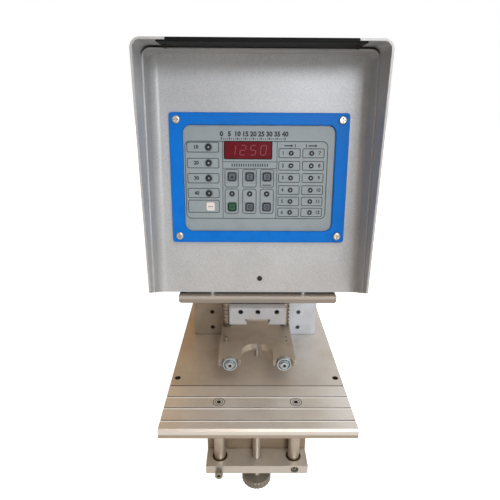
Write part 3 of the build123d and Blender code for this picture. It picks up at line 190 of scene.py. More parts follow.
def cut_metal(
    name, low, high, stain, lay=(0.03, 1, 1), line=0.4, rough=(0.34, 0.44), metallic=0.9, blotch=30,
    front=None,
):
    """Ground, milled or turned metal: fine tool lines along one way, stains, and painted shade in corners
    and holes.

    Front gives painted light and shade for the faces that look forwards: one tone below and one above a
    height in millimetres.
    """
    material, tree = new_finish(name)
    place = add_node(tree, "ShaderNodeTexCoord").outputs["Object"]
    along = add_node(
        tree, "ShaderNodeMapping", inputs={"Vector": place, "Scale": tuple(per_mm(line) * s for s in lay)}
    )
    lines = add_node(
        tree, "ShaderNodeTexNoise",
        inputs={"Vector": along.outputs["Vector"], "Scale": 1.0, "Detail": 4.0, "Roughness": 0.65},
    )
    stains = add_node(
        tree, "ShaderNodeTexNoise",
        inputs={"Vector": place, "Scale": per_mm(blotch), "Detail": 4.0, "Roughness": 0.6},
    )
    base = two_tones(tree, lines.outputs["Fac"], low, high, 0.2, 0.8)
    stain_mask = add_node(
        tree, "ShaderNodeMapRange",
        inputs={"Value": stains.outputs["Fac"], "From Min": 0.45, "From Max": 0.8, "To Max": 0.5},
    )
    stains_and_painted_light = add_node(
        tree, "ShaderNodeMix", {"data_type": "RGBA"},
        {"Factor": stain_mask.outputs["Result"], "A": base, "B": hex_colour(stain)},
    )
    # Painted shade: the colour darkens where other surfaces close in, in corners, holes and joints.
    open_air = add_node(tree, "ShaderNodeAmbientOcclusion", {"samples": 4}, {"Distance": 6 * MM})
    corner_shade = add_node(
        tree, "ShaderNodeMapRange",
        inputs={"Value": open_air.outputs["AO"], "From Min": 0.15, "From Max": 0.5, "To Min": 0.08},
    )
    stains_and_painted_light = add_node(
        tree, "ShaderNodeMix", {"data_type": "RGBA", "blend_type": "MULTIPLY"},
        {"Factor": 1.0, "A": stains_and_painted_light.outputs["Result"], "B": corner_shade.outputs["Result"]},
    )
    # Painted light and shade: faces that look forwards take fixed tones, a darker one below and a lighter
    # one above a height.
    if front:
        facing = add_node(tree, "ShaderNodeNewGeometry").outputs["True Normal"]
        axes = add_node(tree, "ShaderNodeSeparateXYZ", inputs={"Vector": facing})
        forwards = add_node(
            tree, "ShaderNodeMapRange",
            inputs={"Value": axes.outputs["Y"], "From Min": -0.9, "From Max": -0.98, "To Max": 0.85},
        )
        heights = add_node(tree, "ShaderNodeSeparateXYZ", inputs={"Vector": place})
        upper = add_node(
            tree, "ShaderNodeMapRange",
            inputs={"Value": heights.outputs["Z"],
                    "From Min": (front[2] - 1) * MM, "From Max": (front[2] + 1) * MM},
        )
        front_light_tones = add_node(
            tree, "ShaderNodeMix", {"data_type": "RGBA"},
            {"Factor": upper.outputs["Result"], "A": hex_colour(front[0]), "B": hex_colour(front[1])},
        )
        stains_and_painted_light = add_node(
            tree, "ShaderNodeMix", {"data_type": "RGBA"},
            {"Factor": forwards.outputs["Result"], "A": stains_and_painted_light.outputs["Result"],
             "B": front_light_tones.outputs["Result"]},
        )
    gloss = add_node(
        tree, "ShaderNodeMapRange",
        inputs={"Value": stains.outputs["Fac"], "From Min": 0.3, "From Max": 0.7,
                "To Min": rough[0], "To Max": rough[1]},
    )
    close_finish(
        tree, lines.outputs["Fac"], 0.25, 0.006, 0.35,
        {"Base Color": stains_and_painted_light.outputs["Result"], "Metallic": metallic,
         "Roughness": gloss.outputs["Result"]},
    )
    return material


def moulded_part(name, low, high, rough=(0.42, 0.56), coat=0.0, mirror=0.5):
    """Moulded or printed plastic: an even colour with a fine spark-eroded grain."""
    material, tree = new_finish(name)
    place = add_node(tree, "ShaderNodeTexCoord").outputs["Object"]
    grains = add_node(
        tree, "ShaderNodeTexNoise",
        inputs={"Vector": place, "Scale": per_mm(0.6), "Detail": 2.0, "Roughness": 0.6},
    )
    rubbed = add_node(
        tree, "ShaderNodeTexNoise",
        inputs={"Vector": place, "Scale": per_mm(14), "Detail": 3.0, "Roughness": 0.6},
    )
    tone = add_node(
        tree, "ShaderNodeMath", {"operation": "ADD"},
        {0: rubbed.outputs["Fac"], 1: grains.outputs["Fac"]},
    )
    colour = two_tones(tree, tone.outputs["Value"], low, high, 0.7, 1.0)
    gloss = add_node(
        tree, "ShaderNodeMapRange",
        inputs={"Value": rubbed.outputs["Fac"], "From Min": 0.3, "From Max": 0.7,
                "To Min": rough[0], "To Max": rough[1]},
    )
    close_finish(
        tree, grains.outputs["Fac"], 0.4, 0.02, 0.3,
        {"Base Color": colour, "Roughness": gloss.outputs["Result"], "Specular IOR Level": mirror,
         "Coat Weight": coat, "Coat Roughness": 0.12},
    )
    return material


def lit_segment(name, low, high, glow):
    """Red light-emitting segments behind a smoked window: a dull red with a faint glow."""
    material, tree = new_finish(name)
    place = add_node(tree, "ShaderNodeTexCoord").outputs["Object"]
    spots = add_node(
        tree, "ShaderNodeTexNoise", inputs={"Vector": place, "Scale": per_mm(2), "Detail": 1.0}
    )
    colour = two_tones(tree, spots.outputs["Fac"], low, high)
    shader = add_node(
        tree, "ShaderNodeBsdfPrincipled",
        inputs={"Base Color": colour, "Roughness": 0.3, "Emission Color": hex_colour(high),
                "Emission Strength": glow},
    )
    add_node(tree, "ShaderNodeOutputMaterial", inputs={"Surface": shader.outputs["BSDF"]})
    return material


# Finishes of the machine

# Silver-grey sheet: a cool, softly sparkling coat with a faint orange peel
silver_paint = painted_sheet("silver_powder_coat", "#ADAFB0", "#BEC0C1", "#DADADA")
# The roof: nearly black and dull, so its front edge reads as a dark bar
black_paint = painted_sheet(
    "black_powder_coat", "#060807", "#0C100E", "#181D1A", grain=1.1, rough=(0.5, 0.6), metallic=0.0,
    mirror=0.12,
)
# The foot: coarser dents of hammer paint in mid grey
foot_paint = painted_sheet("grey_hammer_paint", "#54585B", "#6A6F72", "#8A8E90", grain=2.2, orange_peel=0.12)
# The bezel: a strong even blue, satin, without a white glare
blue_enamel = moulded_part("blue_enamel_on_aluminium", "#0268C2", "#0372D2", rough=(0.34, 0.44), mirror=0.12)
# Bed and base plates: warm ground steel with straight lines and faint brown handling stains
# Its forward faces are painted darker as shade, with a painted highlight above 269.5 mm on the base plate's
# upper front edge
ground_steel = cut_metal(
    "ground_steel_plate", "#CCC5BB", "#DCD6CE", "#B7A68E", metallic=0.55, front=("#8C857B", "#B7B2A9", 269.5)
)
# The lift bar: the same steel, cooler and cleaner
bar_steel = cut_metal("ground_bar_steel", "#D0CCC3", "#E0DCD5", "#BCB4A4", metallic=0.6)
# The bracket: darker and browner, a painted shade for the table's shadow
bracket_steel_painted_shade = cut_metal("bracket_steel_with_painted_shadow", "#8C7C66", "#A0917D", "#7A6A52", metallic=0.6)
# The work table: the palest plate, its front face painted darker as shade below and with a painted highlight
# along its upper edge
table_plate = cut_metal(
    "ground_table_plate", "#DAD5CD", "#EAE6E0", "#CCC1B2", metallic=0.5, front=("#A89C8C", "#ECE9E3", 160)
)
# Pad block: crisp, cool, evenly milled aluminium
milled_aluminium = cut_metal(
    "milled_aluminium", "#ACB0B4", "#C2C6CB", "#A39B8E", lay=(1, 0.2, 0.05), rough=(0.48, 0.6), metallic=0.7
)
# Left column: the same aluminium, darker and browner as a painted shade and reflection of the dim brown room
aluminium_with_painted_shade = cut_metal(
    "aluminium_with_painted_shade", "#978A79", "#AC9F8E", "#7E6C50", lay=(1, 0.2, 0.05), rough=(0.48, 0.6), metallic=0.7
)
# Right column: the same aluminium, lighter and cooler as painted window light
aluminium_with_painted_light = cut_metal(
    "aluminium_with_painted_light", "#CFD6DF", "#E2E8EF", "#C2C2BE", lay=(1, 0.2, 0.05), rough=(0.48, 0.6), metallic=0.6
)
# The fork: brown-grey ground steel, its forward faces painted darker and cooler as shade
fork_steel = cut_metal(
    "ground_fork_plate", "#CABFAE", "#DBD1C3", "#B0A084", metallic=0.6, front=("#837E78", "#837E78", 0)
)
# Posts and rods: turned steel with a soft bright streak
turned_steel = cut_metal(
    "bright_turned_steel", "#C4BCB0", "#DCD5CB", "#A8937A", lay=(1, 1, 0.6), rough=(0.28, 0.38)
)
# Rollers and axles: pale blue zinc, satin
zinc_steel = cut_metal(
    "blue_zinc_steel", "#A8B4B9", "#C6CFD3", "#97A2A3", rough=(0.36, 0.48), metallic=0.75, blotch=4
)
# Springs: oiled wire, dull and brown-grey
spring_steel = cut_metal("oiled_spring_wire", "#7C7263", "#9E9384", "#5E5242", rough=(0.38, 0.5), blotch=5)
# Small screws and pins: zinc plate with yellowish passivation stains
plated_screw = cut_metal("zinc_plated_screw", "#9A978F", "#BEBBB2", "#8F7C48", rough=(0.36, 0.48), blotch=5)
# Hood screws: darkened heads that read as small dark dots
dark_screw = cut_metal("blackened_screw", "#3E3C38", "#5A5750", "#2C2A26", rough=(0.4, 0.52), blotch=5)
# Bushes: dark oily bronze rims round the posts
oiled_bronze = cut_metal("oiled_bronze", "#4A3B27", "#6E5838", "#2E261C", rough=(0.36, 0.5))
# Cylinders: smooth drawn tube, anodised grey
drawn_aluminium = cut_metal("anodised_cylinder_tube", "#A8AAAC", "#C6C8CA", "#9A968E", lay=(1, 0.02, 0.02))
# The knob: rough browned steel with a matt rim
knob_steel = cut_metal(
    "browned_knob_steel", "#8F8A80", "#AAA499", "#6E665A", line=0.8, rough=(0.45, 0.6), metallic=0.6
)
# Lips of the slots: a nearly white painted highlight along their front edges
lip_highlight_finish = cut_metal(
    "painted_slot_lip_highlight", "#FDFBF7", "#FFFFFF", "#F2EDE4", rough=(0.45, 0.55), metallic=0.0
)
# Painted shade in slots, joints, holes and grooves: black-brown and dull
hollow_shade = moulded_part("painted_shade_in_hollows", "#14110E", "#221D18", rough=(0.5, 0.7), mirror=0.2)
# Overlay: matt grey film with a slight green-blue cast
overlay_film = moulded_part("matt_polycarbonate_film", "#828E92", "#8D999E", rough=(0.38, 0.5))
# Display window: deep smoked red
smoked_window = moulded_part("smoked_red_window", "#50030D", "#660716", rough=(0.14, 0.24), mirror=0.15)
# Lamp lenses: small pale grey dots, unlit
lamp_lens = moulded_part("clear_lamp_lens", "#808A88", "#98A2A0", rough=(0.25, 0.35), coat=0.1)
# Rubber keys: matt slate grey, leaf green and warm white
grey_key = moulded_part("grey_rubber_key", "#4A535D", "#58616B")
green_key = moulded_part("green_rubber_key", "#054723", "#0A5830")
white_key = moulded_part("white_rubber_key", "#D2CFC9", "#DEDBD5")
# Screen inks: soft dark grey lines, pale surrounds, and firm black numbers
printing_ink = moulded_part("dark_screen_ink", "#343B3F", "#434B4F")
pale_ink = moulded_part("pale_screen_ink", "#A9B1B4", "#B5BCC0")
black_ink = moulded_part("black_screen_ink", "#0F1214", "#191D20")
# Control board: glossy green lacquer
board_mask = moulded_part("green_solder_mask", "#0B4A26", "#14683A", rough=(0.25, 0.4))
# Inlet, rocker and switches: black nylon with a fine grain
black_moulding = moulded_part("black_moulded_nylon", "#111213", "#1E1F21")
# Display digits: barely brighter than the window in front of them
red_segment = lit_segment("red_display_segment", "#701019", "#801820", 0.02)

# The finish of each material slot of the record, and of the nodes that differ from their slot
FINISH_OF_SLOT = {
    "grey_paint": silver_paint,
    "dark_paint": black_paint,
    "foot_paint": foot_paint,
    "ground_steel": ground_steel,
    "milled_aluminium": milled_aluminium,
    "bright_steel": turned_steel,
    "screw_steel": plated_screw,
    "bronze": oiled_bronze,
    "bezel_blue": blue_enamel,
    "overlay_grey": overlay_film,
    "display_red": smoked_window,
    "lamp_clear": lamp_lens,
    "key_grey": grey_key,
    "key_green": green_key,
    "key_white": white_key,
    "board_green": board_mask,
    "black_plastic": black_moulding,
    "cylinder_aluminium": drawn_aluminium,
    "knob_dark": knob_steel,
}
FINISH_OF_NODE = {
    "work_table": table_plate,
    "table_screws": table_plate,
    "fork_plate": fork_steel,
    "fork_pins": plated_screw,
    "roller_left": zinc_steel,
    "roller_right": zinc_steel,
    "roller_axles": zinc_steel,
    "column_left": aluminium_with_painted_shade,
    "column_right": aluminium_with_painted_light,
    "lift_bar": bar_steel,
    "lift_bracket": bracket_steel_painted_shade,
    "hood_screws": dark_screw,
    "frame_screws": zinc_steel,
}


def dress_frame():
    """Gives every CAD node its own finish, or else the one of its material slot."""
    for name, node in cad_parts.items():
        for holder in node.material_slots:
            slot = holder.material.name.split(".")[0]
            holder.material = FINISH_OF_NODE.get(name) or FINISH_OF_SLOT[slot]


dress_frame()


# Camera, floor and lights
FLOOR_HALF = 12.0
FLOOR_DROP_MM = 0.3
# Where the room turns from left to right, from front to back and from low to high
ROOM_EDGES = (("X", -0.08, 0.14), ("Y", -0.1, 0.4), ("Z", 0.1, 0.5))
# The room's left and right tones: low in front, high in front, and behind
ROOM_TONES = (("#362512", "#CCD6E2"), ("#806142", "#DAD6D2"), ("#BC955E", "#F6F8FC"))
# Soft lights: name, place, aim, side, watts and colour
LIGHTS = (
    ("window_light", (0.4, -1.75, 1.05), (0, 0, 0.3), 0.42, 8.5, "#F8FAFF"),
    ("front_fill", (0.32, -2.3, 0.6), (0, 0, 0.3), 2.0, 12, "#F4F7FF"),
    ("ceiling_light", (0.3, -0.8, 1.5), (0, -0.1, 0.2), 0.8, 7, "#FFF4E4"),
)


def place_camera():
    """Sets the camera where the photograph was taken from."""
    data = bpy.data.cameras.new("photo_camera")
    data.sensor_width = SENSOR_MM
    data.lens = CAMERA_FOCAL_PIXELS / IMAGE_SIDE_PIXELS * SENSOR_MM
    data.clip_start = 0.01
    data.clip_end = 60.0
    camera = bpy.data.objects.new("photo_camera", data)
    bpy.context.scene.collection.objects.link(camera)
    level = Vector((math.cos(CAMERA_YAW), -math.sin(CAMERA_YAW), 0))
    ahead = Vector((math.sin(CAMERA_YAW), math.cos(CAMERA_YAW), 0))
    forward = ahead * math.cos(CAMERA_PITCH) - Vector((0, 0, math.sin(CAMERA_PITCH)))
    upward = ahead * math.sin(CAMERA_PITCH) + Vector((0, 0, math.cos(CAMERA_PITCH)))
    right = level * math.cos(CAMERA_ROLL) + upward * math.sin(CAMERA_ROLL)
    up = upward * math.cos(CAMERA_ROLL) - level * math.sin(CAMERA_ROLL)
    turn = Matrix((right, up, -forward)).transposed().to_4x4()
    camera.matrix_world = Matrix.Translation(Vector(CAMERA_PLACE_MM) * MM) @ turn
    bpy.context.scene.camera = camera


def soft_box(name, place, aim, side, watts, colour):
    """A square studio light that looks at a point."""
    data = bpy.data.lights.new(name, "AREA")
    data.shape = "SQUARE"
    data.size = side
    data.energy = watts
    data.color = hex_colour(colour)[:3]
    light = bpy.data.objects.new(name, data)
    light.location = place
    light.rotation_mode = "QUATERNION"
    light.rotation_quaternion = (Vector(aim) - Vector(place)).to_track_quat("-Z", "Y")
    bpy.context.scene.collection.objects.link(light)


def build_studio():
    """A wide pale floor and a soft room, brighter and cooler on the window's side."""
    # Floor: matt pale board with the faintest mottle, and plain white where the camera sees it
    material, tree = new_finish("pale_floor")
    place = add_node(tree, "ShaderNodeTexCoord").outputs["Object"]
    mottle = add_node(
        tree, "ShaderNodeTexNoise", inputs={"Vector": place, "Scale": per_mm(300), "Detail": 2.0}
    )
    colour = two_tones(tree, mottle.outputs["Fac"], "#DEDBD6", "#E6E3DF")
    seen = add_node(tree, "ShaderNodeLightPath").outputs["Is Camera Ray"]
    shader = add_node(
        tree, "ShaderNodeBsdfPrincipled",
        inputs={"Base Color": colour, "Roughness": 0.9, "Emission Color": hex_colour("#FFFFFF"),
                "Emission Strength": seen},
    )
    add_node(tree, "ShaderNodeOutputMaterial", inputs={"Surface": shader.outputs["BSDF"]})
    ways = ((-1, -1), (1, -1), (1, 1), (-1, 1))
    corners = [(x * FLOOR_HALF, y * FLOOR_HALF, 0) for x, y in ways]
    mesh = bpy.data.meshes.new("studio_floor")
    mesh.from_pydata(corners, [], [(0, 1, 2, 3)])
    mesh.materials.append(material)
    floor = bpy.data.objects.new("studio_floor", mesh)
    floor.location.z = -FLOOR_DROP_MM * MM
    bpy.context.scene.collection.objects.link(floor)

    # Room: dim and brown to the front left, bright and cool to the right and behind
    world = bpy.data.worlds.new("studio_room")
    bpy.context.scene.world = world
    world.use_nodes = True
    tree = world.node_tree
    tree.nodes.clear()
    look = add_node(tree, "ShaderNodeTexCoord").outputs["Generated"]
    axes = add_node(tree, "ShaderNodeSeparateXYZ", inputs={"Vector": look})
    rises = []
    for axis, start, end in ROOM_EDGES:
        rise = add_node(
            tree, "ShaderNodeMapRange", {"interpolation_type": "SMOOTHSTEP"},
            {"Value": axes.outputs[axis], "From Min": start, "From Max": end},
        )
        rises.append(rise.outputs["Result"])
    rightwards, backwards, upwards = rises
    tones = []
    for left, right in ROOM_TONES:
        tone = add_node(
            tree, "ShaderNodeMix", {"data_type": "RGBA"},
            {"Factor": rightwards, "A": hex_colour(left), "B": hex_colour(right)},
        )
        tones.append(tone.outputs["Result"])
    colour, upper, behind = tones
    seen = add_node(tree, "ShaderNodeLightPath").outputs["Is Camera Ray"]
    for factor, tone in ((upwards, upper), (backwards, behind), (seen, hex_colour("#FFFFFF"))):
        mixed = add_node(
            tree, "ShaderNodeMix", {"data_type": "RGBA"}, {"Factor": factor, "A": colour, "B": tone}
        )
        colour = mixed.outputs["Result"]
    glow = add_node(tree, "ShaderNodeBackground", inputs={"Color": colour, "Strength": 1.0})
    add_node(tree, "ShaderNodeOutputWorld", inputs={"Surface": glow.outputs["Background"]})
    for light in LIGHTS:
        soft_box(*light)
    bpy.context.scene.view_settings.view_transform = "Standard"


place_camera()
build_studio()


# Pieces


def stand_piece(name, mesh, body, finish):
    """Puts a finished mesh in the scene, on its body and with its finish."""
    mesh.name = name
    mesh.materials.clear()
    mesh.materials.append(finish)
    piece = bpy.data.objects.new(name, mesh)
    bpy.context.scene.collection.objects.link(piece)
    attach(piece, body)
    return piece


def join_meshes(name, meshes):
    """One mesh from several."""
    joined = bmesh.new()
    for mesh in meshes:
        joined.from_mesh(mesh)
    result = bpy.data.meshes.new(name)
    joined.to_mesh(result)
    joined.free()
    return result


def evaluated_mesh(holder):
    """The plain mesh that an object's modifier or curve gives. The object itself goes."""
    bpy.context.view_layer.update()
    shown = holder.evaluated_get(bpy.context.evaluated_depsgraph_get())
    mesh = bpy.data.meshes.new_from_object(shown)
    bpy.data.objects.remove(holder)
    return mesh


def grow(tree, seeds, sizes):
    """Runs a node tree on seed points and returns its result as a plain mesh."""
    mesh = bpy.data.meshes.new("seeds")
    mesh.from_pydata(seeds, [], [])
    holder = bpy.data.objects.new("seeds", mesh)
    bpy.context.scene.collection.objects.link(holder)
    modifier = holder.modifiers.new("grow", "NODES")
    modifier.node_group = tree
    for item in tree.interface.items_tree:
        if item.item_type == "SOCKET" and item.in_out == "INPUT" and item.name in sizes:
            modifier[item.identifier] = sizes[item.name]
    return evaluated_mesh(holder)


def new_tree(name, sizes):
    """An empty Geometry Nodes tree with named sizes, and its group input."""
    tree = bpy.data.node_groups.new(name, "GeometryNodeTree")
    tree.interface.new_socket("Geometry", in_out="INPUT", socket_type="NodeSocketGeometry")
    for size in sizes:
        kind = "NodeSocketInt" if size == "Facets" else "NodeSocketFloat"
        tree.interface.new_socket(size, in_out="INPUT", socket_type=kind)
    tree.interface.new_socket("Geometry", in_out="OUTPUT", socket_type="NodeSocketGeometry")
    return tree, add_node(tree, "NodeGroupInput").outputs


def close_tree(tree, points, shape, finish):
    """Stands the shape on every point, makes it real and gives it its material."""
    placed = add_node(
        tree, "GeometryNodeInstanceOnPoints", inputs={"Points": points, "Instance": shape}
    )
    real = add_node(
        tree, "GeometryNodeRealizeInstances", inputs={"Geometry": placed.outputs["Instances"]}
    )
    finished = add_node(
        tree, "GeometryNodeSetMaterial", inputs={"Geometry": real.outputs["Geometry"], "Material": finish}
    )
    add_node(tree, "NodeGroupOutput", inputs={"Geometry": finished.outputs["Geometry"]})
    return tree


def flat_band(tree, path, section):
    """A band whose section follows a level path and stays upright."""
    upright = add_node(tree, "GeometryNodeSetCurveNormal", {"mode": "Z_UP"}, {"Curve": path})
    band = add_node(
        tree, "GeometryNodeCurveToMesh",
        inputs={"Curve": upright.outputs["Curve"], "Profile Curve": section.outputs["Curve"]},
    )
    return band.outputs["Mesh"]


def outline_tree(finish):
    """An outline on each point: a rounded rectangle of a given line width."""
    tree, size = new_tree("outlines", ("Width", "Height", "Corner", "Line", "Ink"))
    path = add_node(
        tree, "GeometryNodeCurvePrimitiveQuadrilateral",
        inputs={"Width": size["Width"], "Height": size["Height"]},
    )
    rounded = add_node(
        tree, "GeometryNodeFilletCurve", {"mode": "POLY"},
        {"Curve": path.outputs["Curve"], "Count": 6, "Radius": size["Corner"]},
    )
    section = add_node(
        tree, "GeometryNodeCurvePrimitiveQuadrilateral",
        inputs={"Width": size["Line"], "Height": size["Ink"]},
    )
    return close_tree(tree, size["Geometry"], flat_band(tree, rounded.outputs["Curve"], section), finish)


def ring_tree(finish):
    """A flat ring on each point."""
    tree, size = new_tree("rings", ("Radius", "Line", "Ink"))
    path = add_node(
        tree, "GeometryNodeCurvePrimitiveCircle", inputs={"Resolution": 32, "Radius": size["Radius"]}
    )
    section = add_node(
        tree, "GeometryNodeCurvePrimitiveQuadrilateral",
        inputs={"Width": size["Line"], "Height": size["Ink"]},
    )
    return close_tree(tree, size["Geometry"], flat_band(tree, path.outputs["Curve"], section), finish)


def rim_tree(finish):
    """A raised rim on each point, wide at its foot and narrow at its crown."""
    tree, size = new_tree("lamp_rims", ("Radius", "Foot", "Crown", "Rise"))
    path = add_node(
        tree, "GeometryNodeCurvePrimitiveCircle", inputs={"Resolution": 32, "Radius": size["Radius"]}
    )
    section = add_node(
        tree, "GeometryNodeCurvePrimitiveQuadrilateral", {"mode": "TRAPEZOID"},
        {"Bottom Width": size["Foot"], "Top Width": size["Crown"], "Offset": 0.0, "Height": size["Rise"]},
    )
    return close_tree(tree, size["Geometry"], flat_band(tree, path.outputs["Curve"], section), finish)


def block_tree(finish):
    """A flat block on each point."""
    tree, size = new_tree("blocks", ("Length", "Depth", "Height"))
    extent = add_node(
        tree, "ShaderNodeCombineXYZ",
        inputs={"X": size["Length"], "Y": size["Depth"], "Z": size["Height"]},
    )
    block = add_node(tree, "GeometryNodeMeshCube", inputs={"Size": extent.outputs["Vector"]})
    return close_tree(tree, size["Geometry"], block.outputs["Mesh"], finish)


def coil_tree(finish):
    """Wire wound evenly round the vertical on each point."""
    tree, size = new_tree("wound_wire", ("Radius", "Wire", "Turns", "Height", "Facets"))
    path = add_node(
        tree, "GeometryNodeCurveSpiral",
        inputs={"Resolution": 28, "Rotations": size["Turns"], "Start Radius": size["Radius"],
                "End Radius": size["Radius"], "Height": size["Height"]},
    )
    section = add_node(
        tree, "GeometryNodeCurvePrimitiveCircle",
        inputs={"Resolution": size["Facets"], "Radius": size["Wire"]},
    )
    wire = add_node(
        tree, "GeometryNodeCurveToMesh",
        inputs={"Curve": path.outputs["Curve"], "Profile Curve": section.outputs["Curve"],
                "Fill Caps": True},
    )
    return close_tree(tree, size["Geometry"], wire.outputs["Mesh"], finish)


def end_turn_tree(finish):
    """The closed turn of wire at each end of a spring."""
    tree, size = new_tree("closed_turns", ("Radius", "Wire"))
    path = add_node(
        tree, "GeometryNodeCurvePrimitiveCircle", inputs={"Resolution": 32, "Radius": size["Radius"]}
    )
    section = add_node(
        tree, "GeometryNodeCurvePrimitiveCircle", inputs={"Resolution": 10, "Radius": size["Wire"]}
    )
    turn = add_node(
        tree, "GeometryNodeCurveToMesh",
        inputs={"Curve": path.outputs["Curve"], "Profile Curve": section.outputs["Curve"]},
    )
    return close_tree(tree, size["Geometry"], turn.outputs["Mesh"], finish)


INK_OUTLINES = outline_tree(printing_ink)
INK_BARS = block_tree(printing_ink)
INK_RINGS = ring_tree(black_ink)
# Rings and strips of painted shade for slots, joints, holes and grooves
SHADE_RINGS = ring_tree(hollow_shade)
SHADE_STRIPS = block_tree(hollow_shade)

# Springs on the fork's hanger rods
SPRING_OUTER_MM = 12.0
SPRING_WIRE_MM = 1.2
SPRING_TURNS = 16.0


def build_springs():
    """The two coil springs between the fork and the carriage plate."""
    low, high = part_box("fork_springs")
    middle = (low.y + high.y) / 2
    axis = high.x - SPRING_OUTER_MM / 2 * MM
    wire = SPRING_WIRE_MM / 2 * MM
    radius = SPRING_OUTER_MM / 2 * MM - wire
    foot = low.z + wire
    head = high.z - wire
    coils = grow(
        coil_tree(spring_steel), [(x, middle, foot) for x in (-axis, axis)],
        {"Radius": radius, "Wire": wire, "Turns": SPRING_TURNS, "Height": head - foot, "Facets": 10},
    )
    ends = [(x, middle, z) for x in (-axis, axis) for z in (foot, head)]
    turns = grow(end_turn_tree(spring_steel), ends, {"Radius": radius, "Wire": wire})
    springs = stand_piece(
        "hanger_springs", join_meshes("hanger_springs", [coils, turns]), "carriage", spring_steel,
    )
    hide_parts("fork_springs")
    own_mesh(springs)


build_springs()

# Lead screw with a real thread
THREAD_PITCH_MM = 1.5
THREAD_DEPTH_MM = 0.55
JOURNAL_DIAMETER_MM = 6.0
JOURNAL_LENGTH_MM = 5.0


def turned_bar(profile, centre, steps=48):
    """A round bar from (radius, height) pairs, closed at both ends on its axis."""
    shape = bmesh.new()
    rings = []
    for radius, height in profile:
        ring = []
        for step in range(steps if radius else 1):
            angle = 2 * math.pi * step / steps
            across = centre[0] + radius * math.cos(angle)
            along = centre[1] + radius * math.sin(angle)
            ring.append(shape.verts.new((across, along, height)))
        rings.append(ring)
    for lower, upper in zip(rings, rings[1:]):
        for step in range(steps):
            after = (step + 1) % steps
            if len(lower) == 1:
                shape.faces.new((lower[0], upper[after], upper[step]))
            elif len(upper) == 1:
                shape.faces.new((lower[step], lower[after], upper[0]))
            else:
                shape.faces.new((lower[step], lower[after], upper[after], upper[step]))
    bmesh.ops.recalc_face_normals(shape, faces=shape.faces)
    mesh = bpy.data.meshes.new("turned_bar")
    shape.to_mesh(mesh)
    shape.free()
    return mesh


def build_lead_screw():
    """The lead screw: a core with a wound thread, a chamfered tip and a plain journal."""
    low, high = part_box("lead_screw")
    centre = ((low.x + high.x) / 2, (low.y + high.y) / 2)
    outer = (high.x - low.x) / 2
    depth = THREAD_DEPTH_MM * MM
    root = outer - depth
    journal = JOURNAL_DIAMETER_MM / 2 * MM
    shoulder = high.z - JOURNAL_LENGTH_MM * MM
    thread_end = shoulder - 2 * depth
    core = turned_bar(
        [(0, low.z), (root - depth, low.z), (root, low.z + depth), (root, thread_end),
         (outer, thread_end), (outer, shoulder), (journal, shoulder), (journal, high.z), (0, high.z)],
        centre,
    )
    length = thread_end - low.z - 2 * depth
    thread = grow(
        coil_tree(turned_steel), [(*centre, low.z + depth)],
        {"Radius": root, "Wire": depth, "Turns": length / (THREAD_PITCH_MM * MM), "Height": length,
         "Facets": 6},
    )
    screw = stand_piece(
        "threaded_lead_screw", join_meshes("threaded_lead_screw", [core, thread]), "lift_screw",
        turned_steel,
    )
    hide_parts("lead_screw")


build_lead_screw()


# Print on the control panel, in millimetres from the middle of the bezel's opening


def panel_place():
    """The matrix that takes the panel's own right, up and outward to the machine."""
    low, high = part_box("overlay")
    outward = Vector((0, -math.cos(FACE_TILT), math.sin(FACE_TILT)))
    upward = Vector((0, math.sin(FACE_TILT), math.cos(FACE_TILT)))
    origin = (low + high) / 2 - outward * OVERLAY_MM / 2 * MM
    turn = Matrix(((1, 0, 0), upward, outward)).transposed().to_4x4()
    return Matrix.Translation(origin) @ turn


PANEL = panel_place()
PRINT_LEVEL_MM = OVERLAY_MM + INK_MM / 2
KEY_FACE_MM = OVERLAY_MM + KEY_RISE_MM
KEY_PRINT_LEVEL_MM = KEY_FACE_MM + INK_MM / 2

# Boxes: width, height, corner and middles
BOX_HEAD_ROWS_MM = (32.05, 16.3, 1.1, -14.05)
BOX_COLUMNS_MM = (-27.95, -9.65, 8.35)
BOXES_MM = (
    (144.5, 78.4, 5.0, [(-2.75, -1.2)]),
    (32.0, 9.6, 1.4, [(-57.0, y) for y in BOX_HEAD_ROWS_MM]),
    (32.0, 12.7, 1.4, [(-57.0, -27.75)]),
    (13.8, 17.7, 1.6, [(x, 1.15) for x in BOX_COLUMNS_MM]),
    (13.8, 25.4, 2.4, [(x, -22.4) for x in BOX_COLUMNS_MM]),
    (21.6, 8.9, 1.0, [(x, y) for x in (30.95, 55.2) for y in PORT_ROWS_MM]),
)
# Dividing lines: width, height and middles
DIVIDERS_MM = (
    (LINE_MM, 78.4, [(-37.1, -1.2), (18.2, -1.2)]),
    (55.3, LINE_MM, [(-9.45, 17.8), (-9.45, 11.2)]),
)
# Scales and marks in black: the fine and long ticks of the upper scale, the bars over the keys, and
# the bars by the arrows and under the last upper key
SCALE_LEFT_MM = -38.0
SCALE_STEP_MM = 8.0
SCALE_MARKS = 9
SCALE_BARS_MM = (
    (0.7, 1.2, [(SCALE_LEFT_MM + index * SCALE_STEP_MM / 4, 40.4) for index in range(33)]),
    (1.1, 2.0, [(SCALE_LEFT_MM + index * SCALE_STEP_MM, 40.7) for index in range(SCALE_MARKS)]),
    (1.1, 3.0, [(-27.5 + index * 2.4, 14.5) for index in range(16)]),
    (0.8, 3.2, [(36.4, 33.9), (47.8, 33.9)]),
    (9.0, 0.9, [(8.3, -5.7)]),
)
ARROWS_MM = ((25.5, 33.9), (50.0, 33.9))
ARROW_LENGTH_MM = 9.0
ARROW_HALF_WIDTH_MM = 1.5
ARROW_HEAD_SHARE = 1.6
ARROW_SHAFT_SHARE = 0.4
# Border of the display: how much wider it is than the window, its corner and its line
BORDER_SPARE_MM = 0.3
BORDER_CORNER_MM = 1.4
BORDER_LINE_MM = 0.9
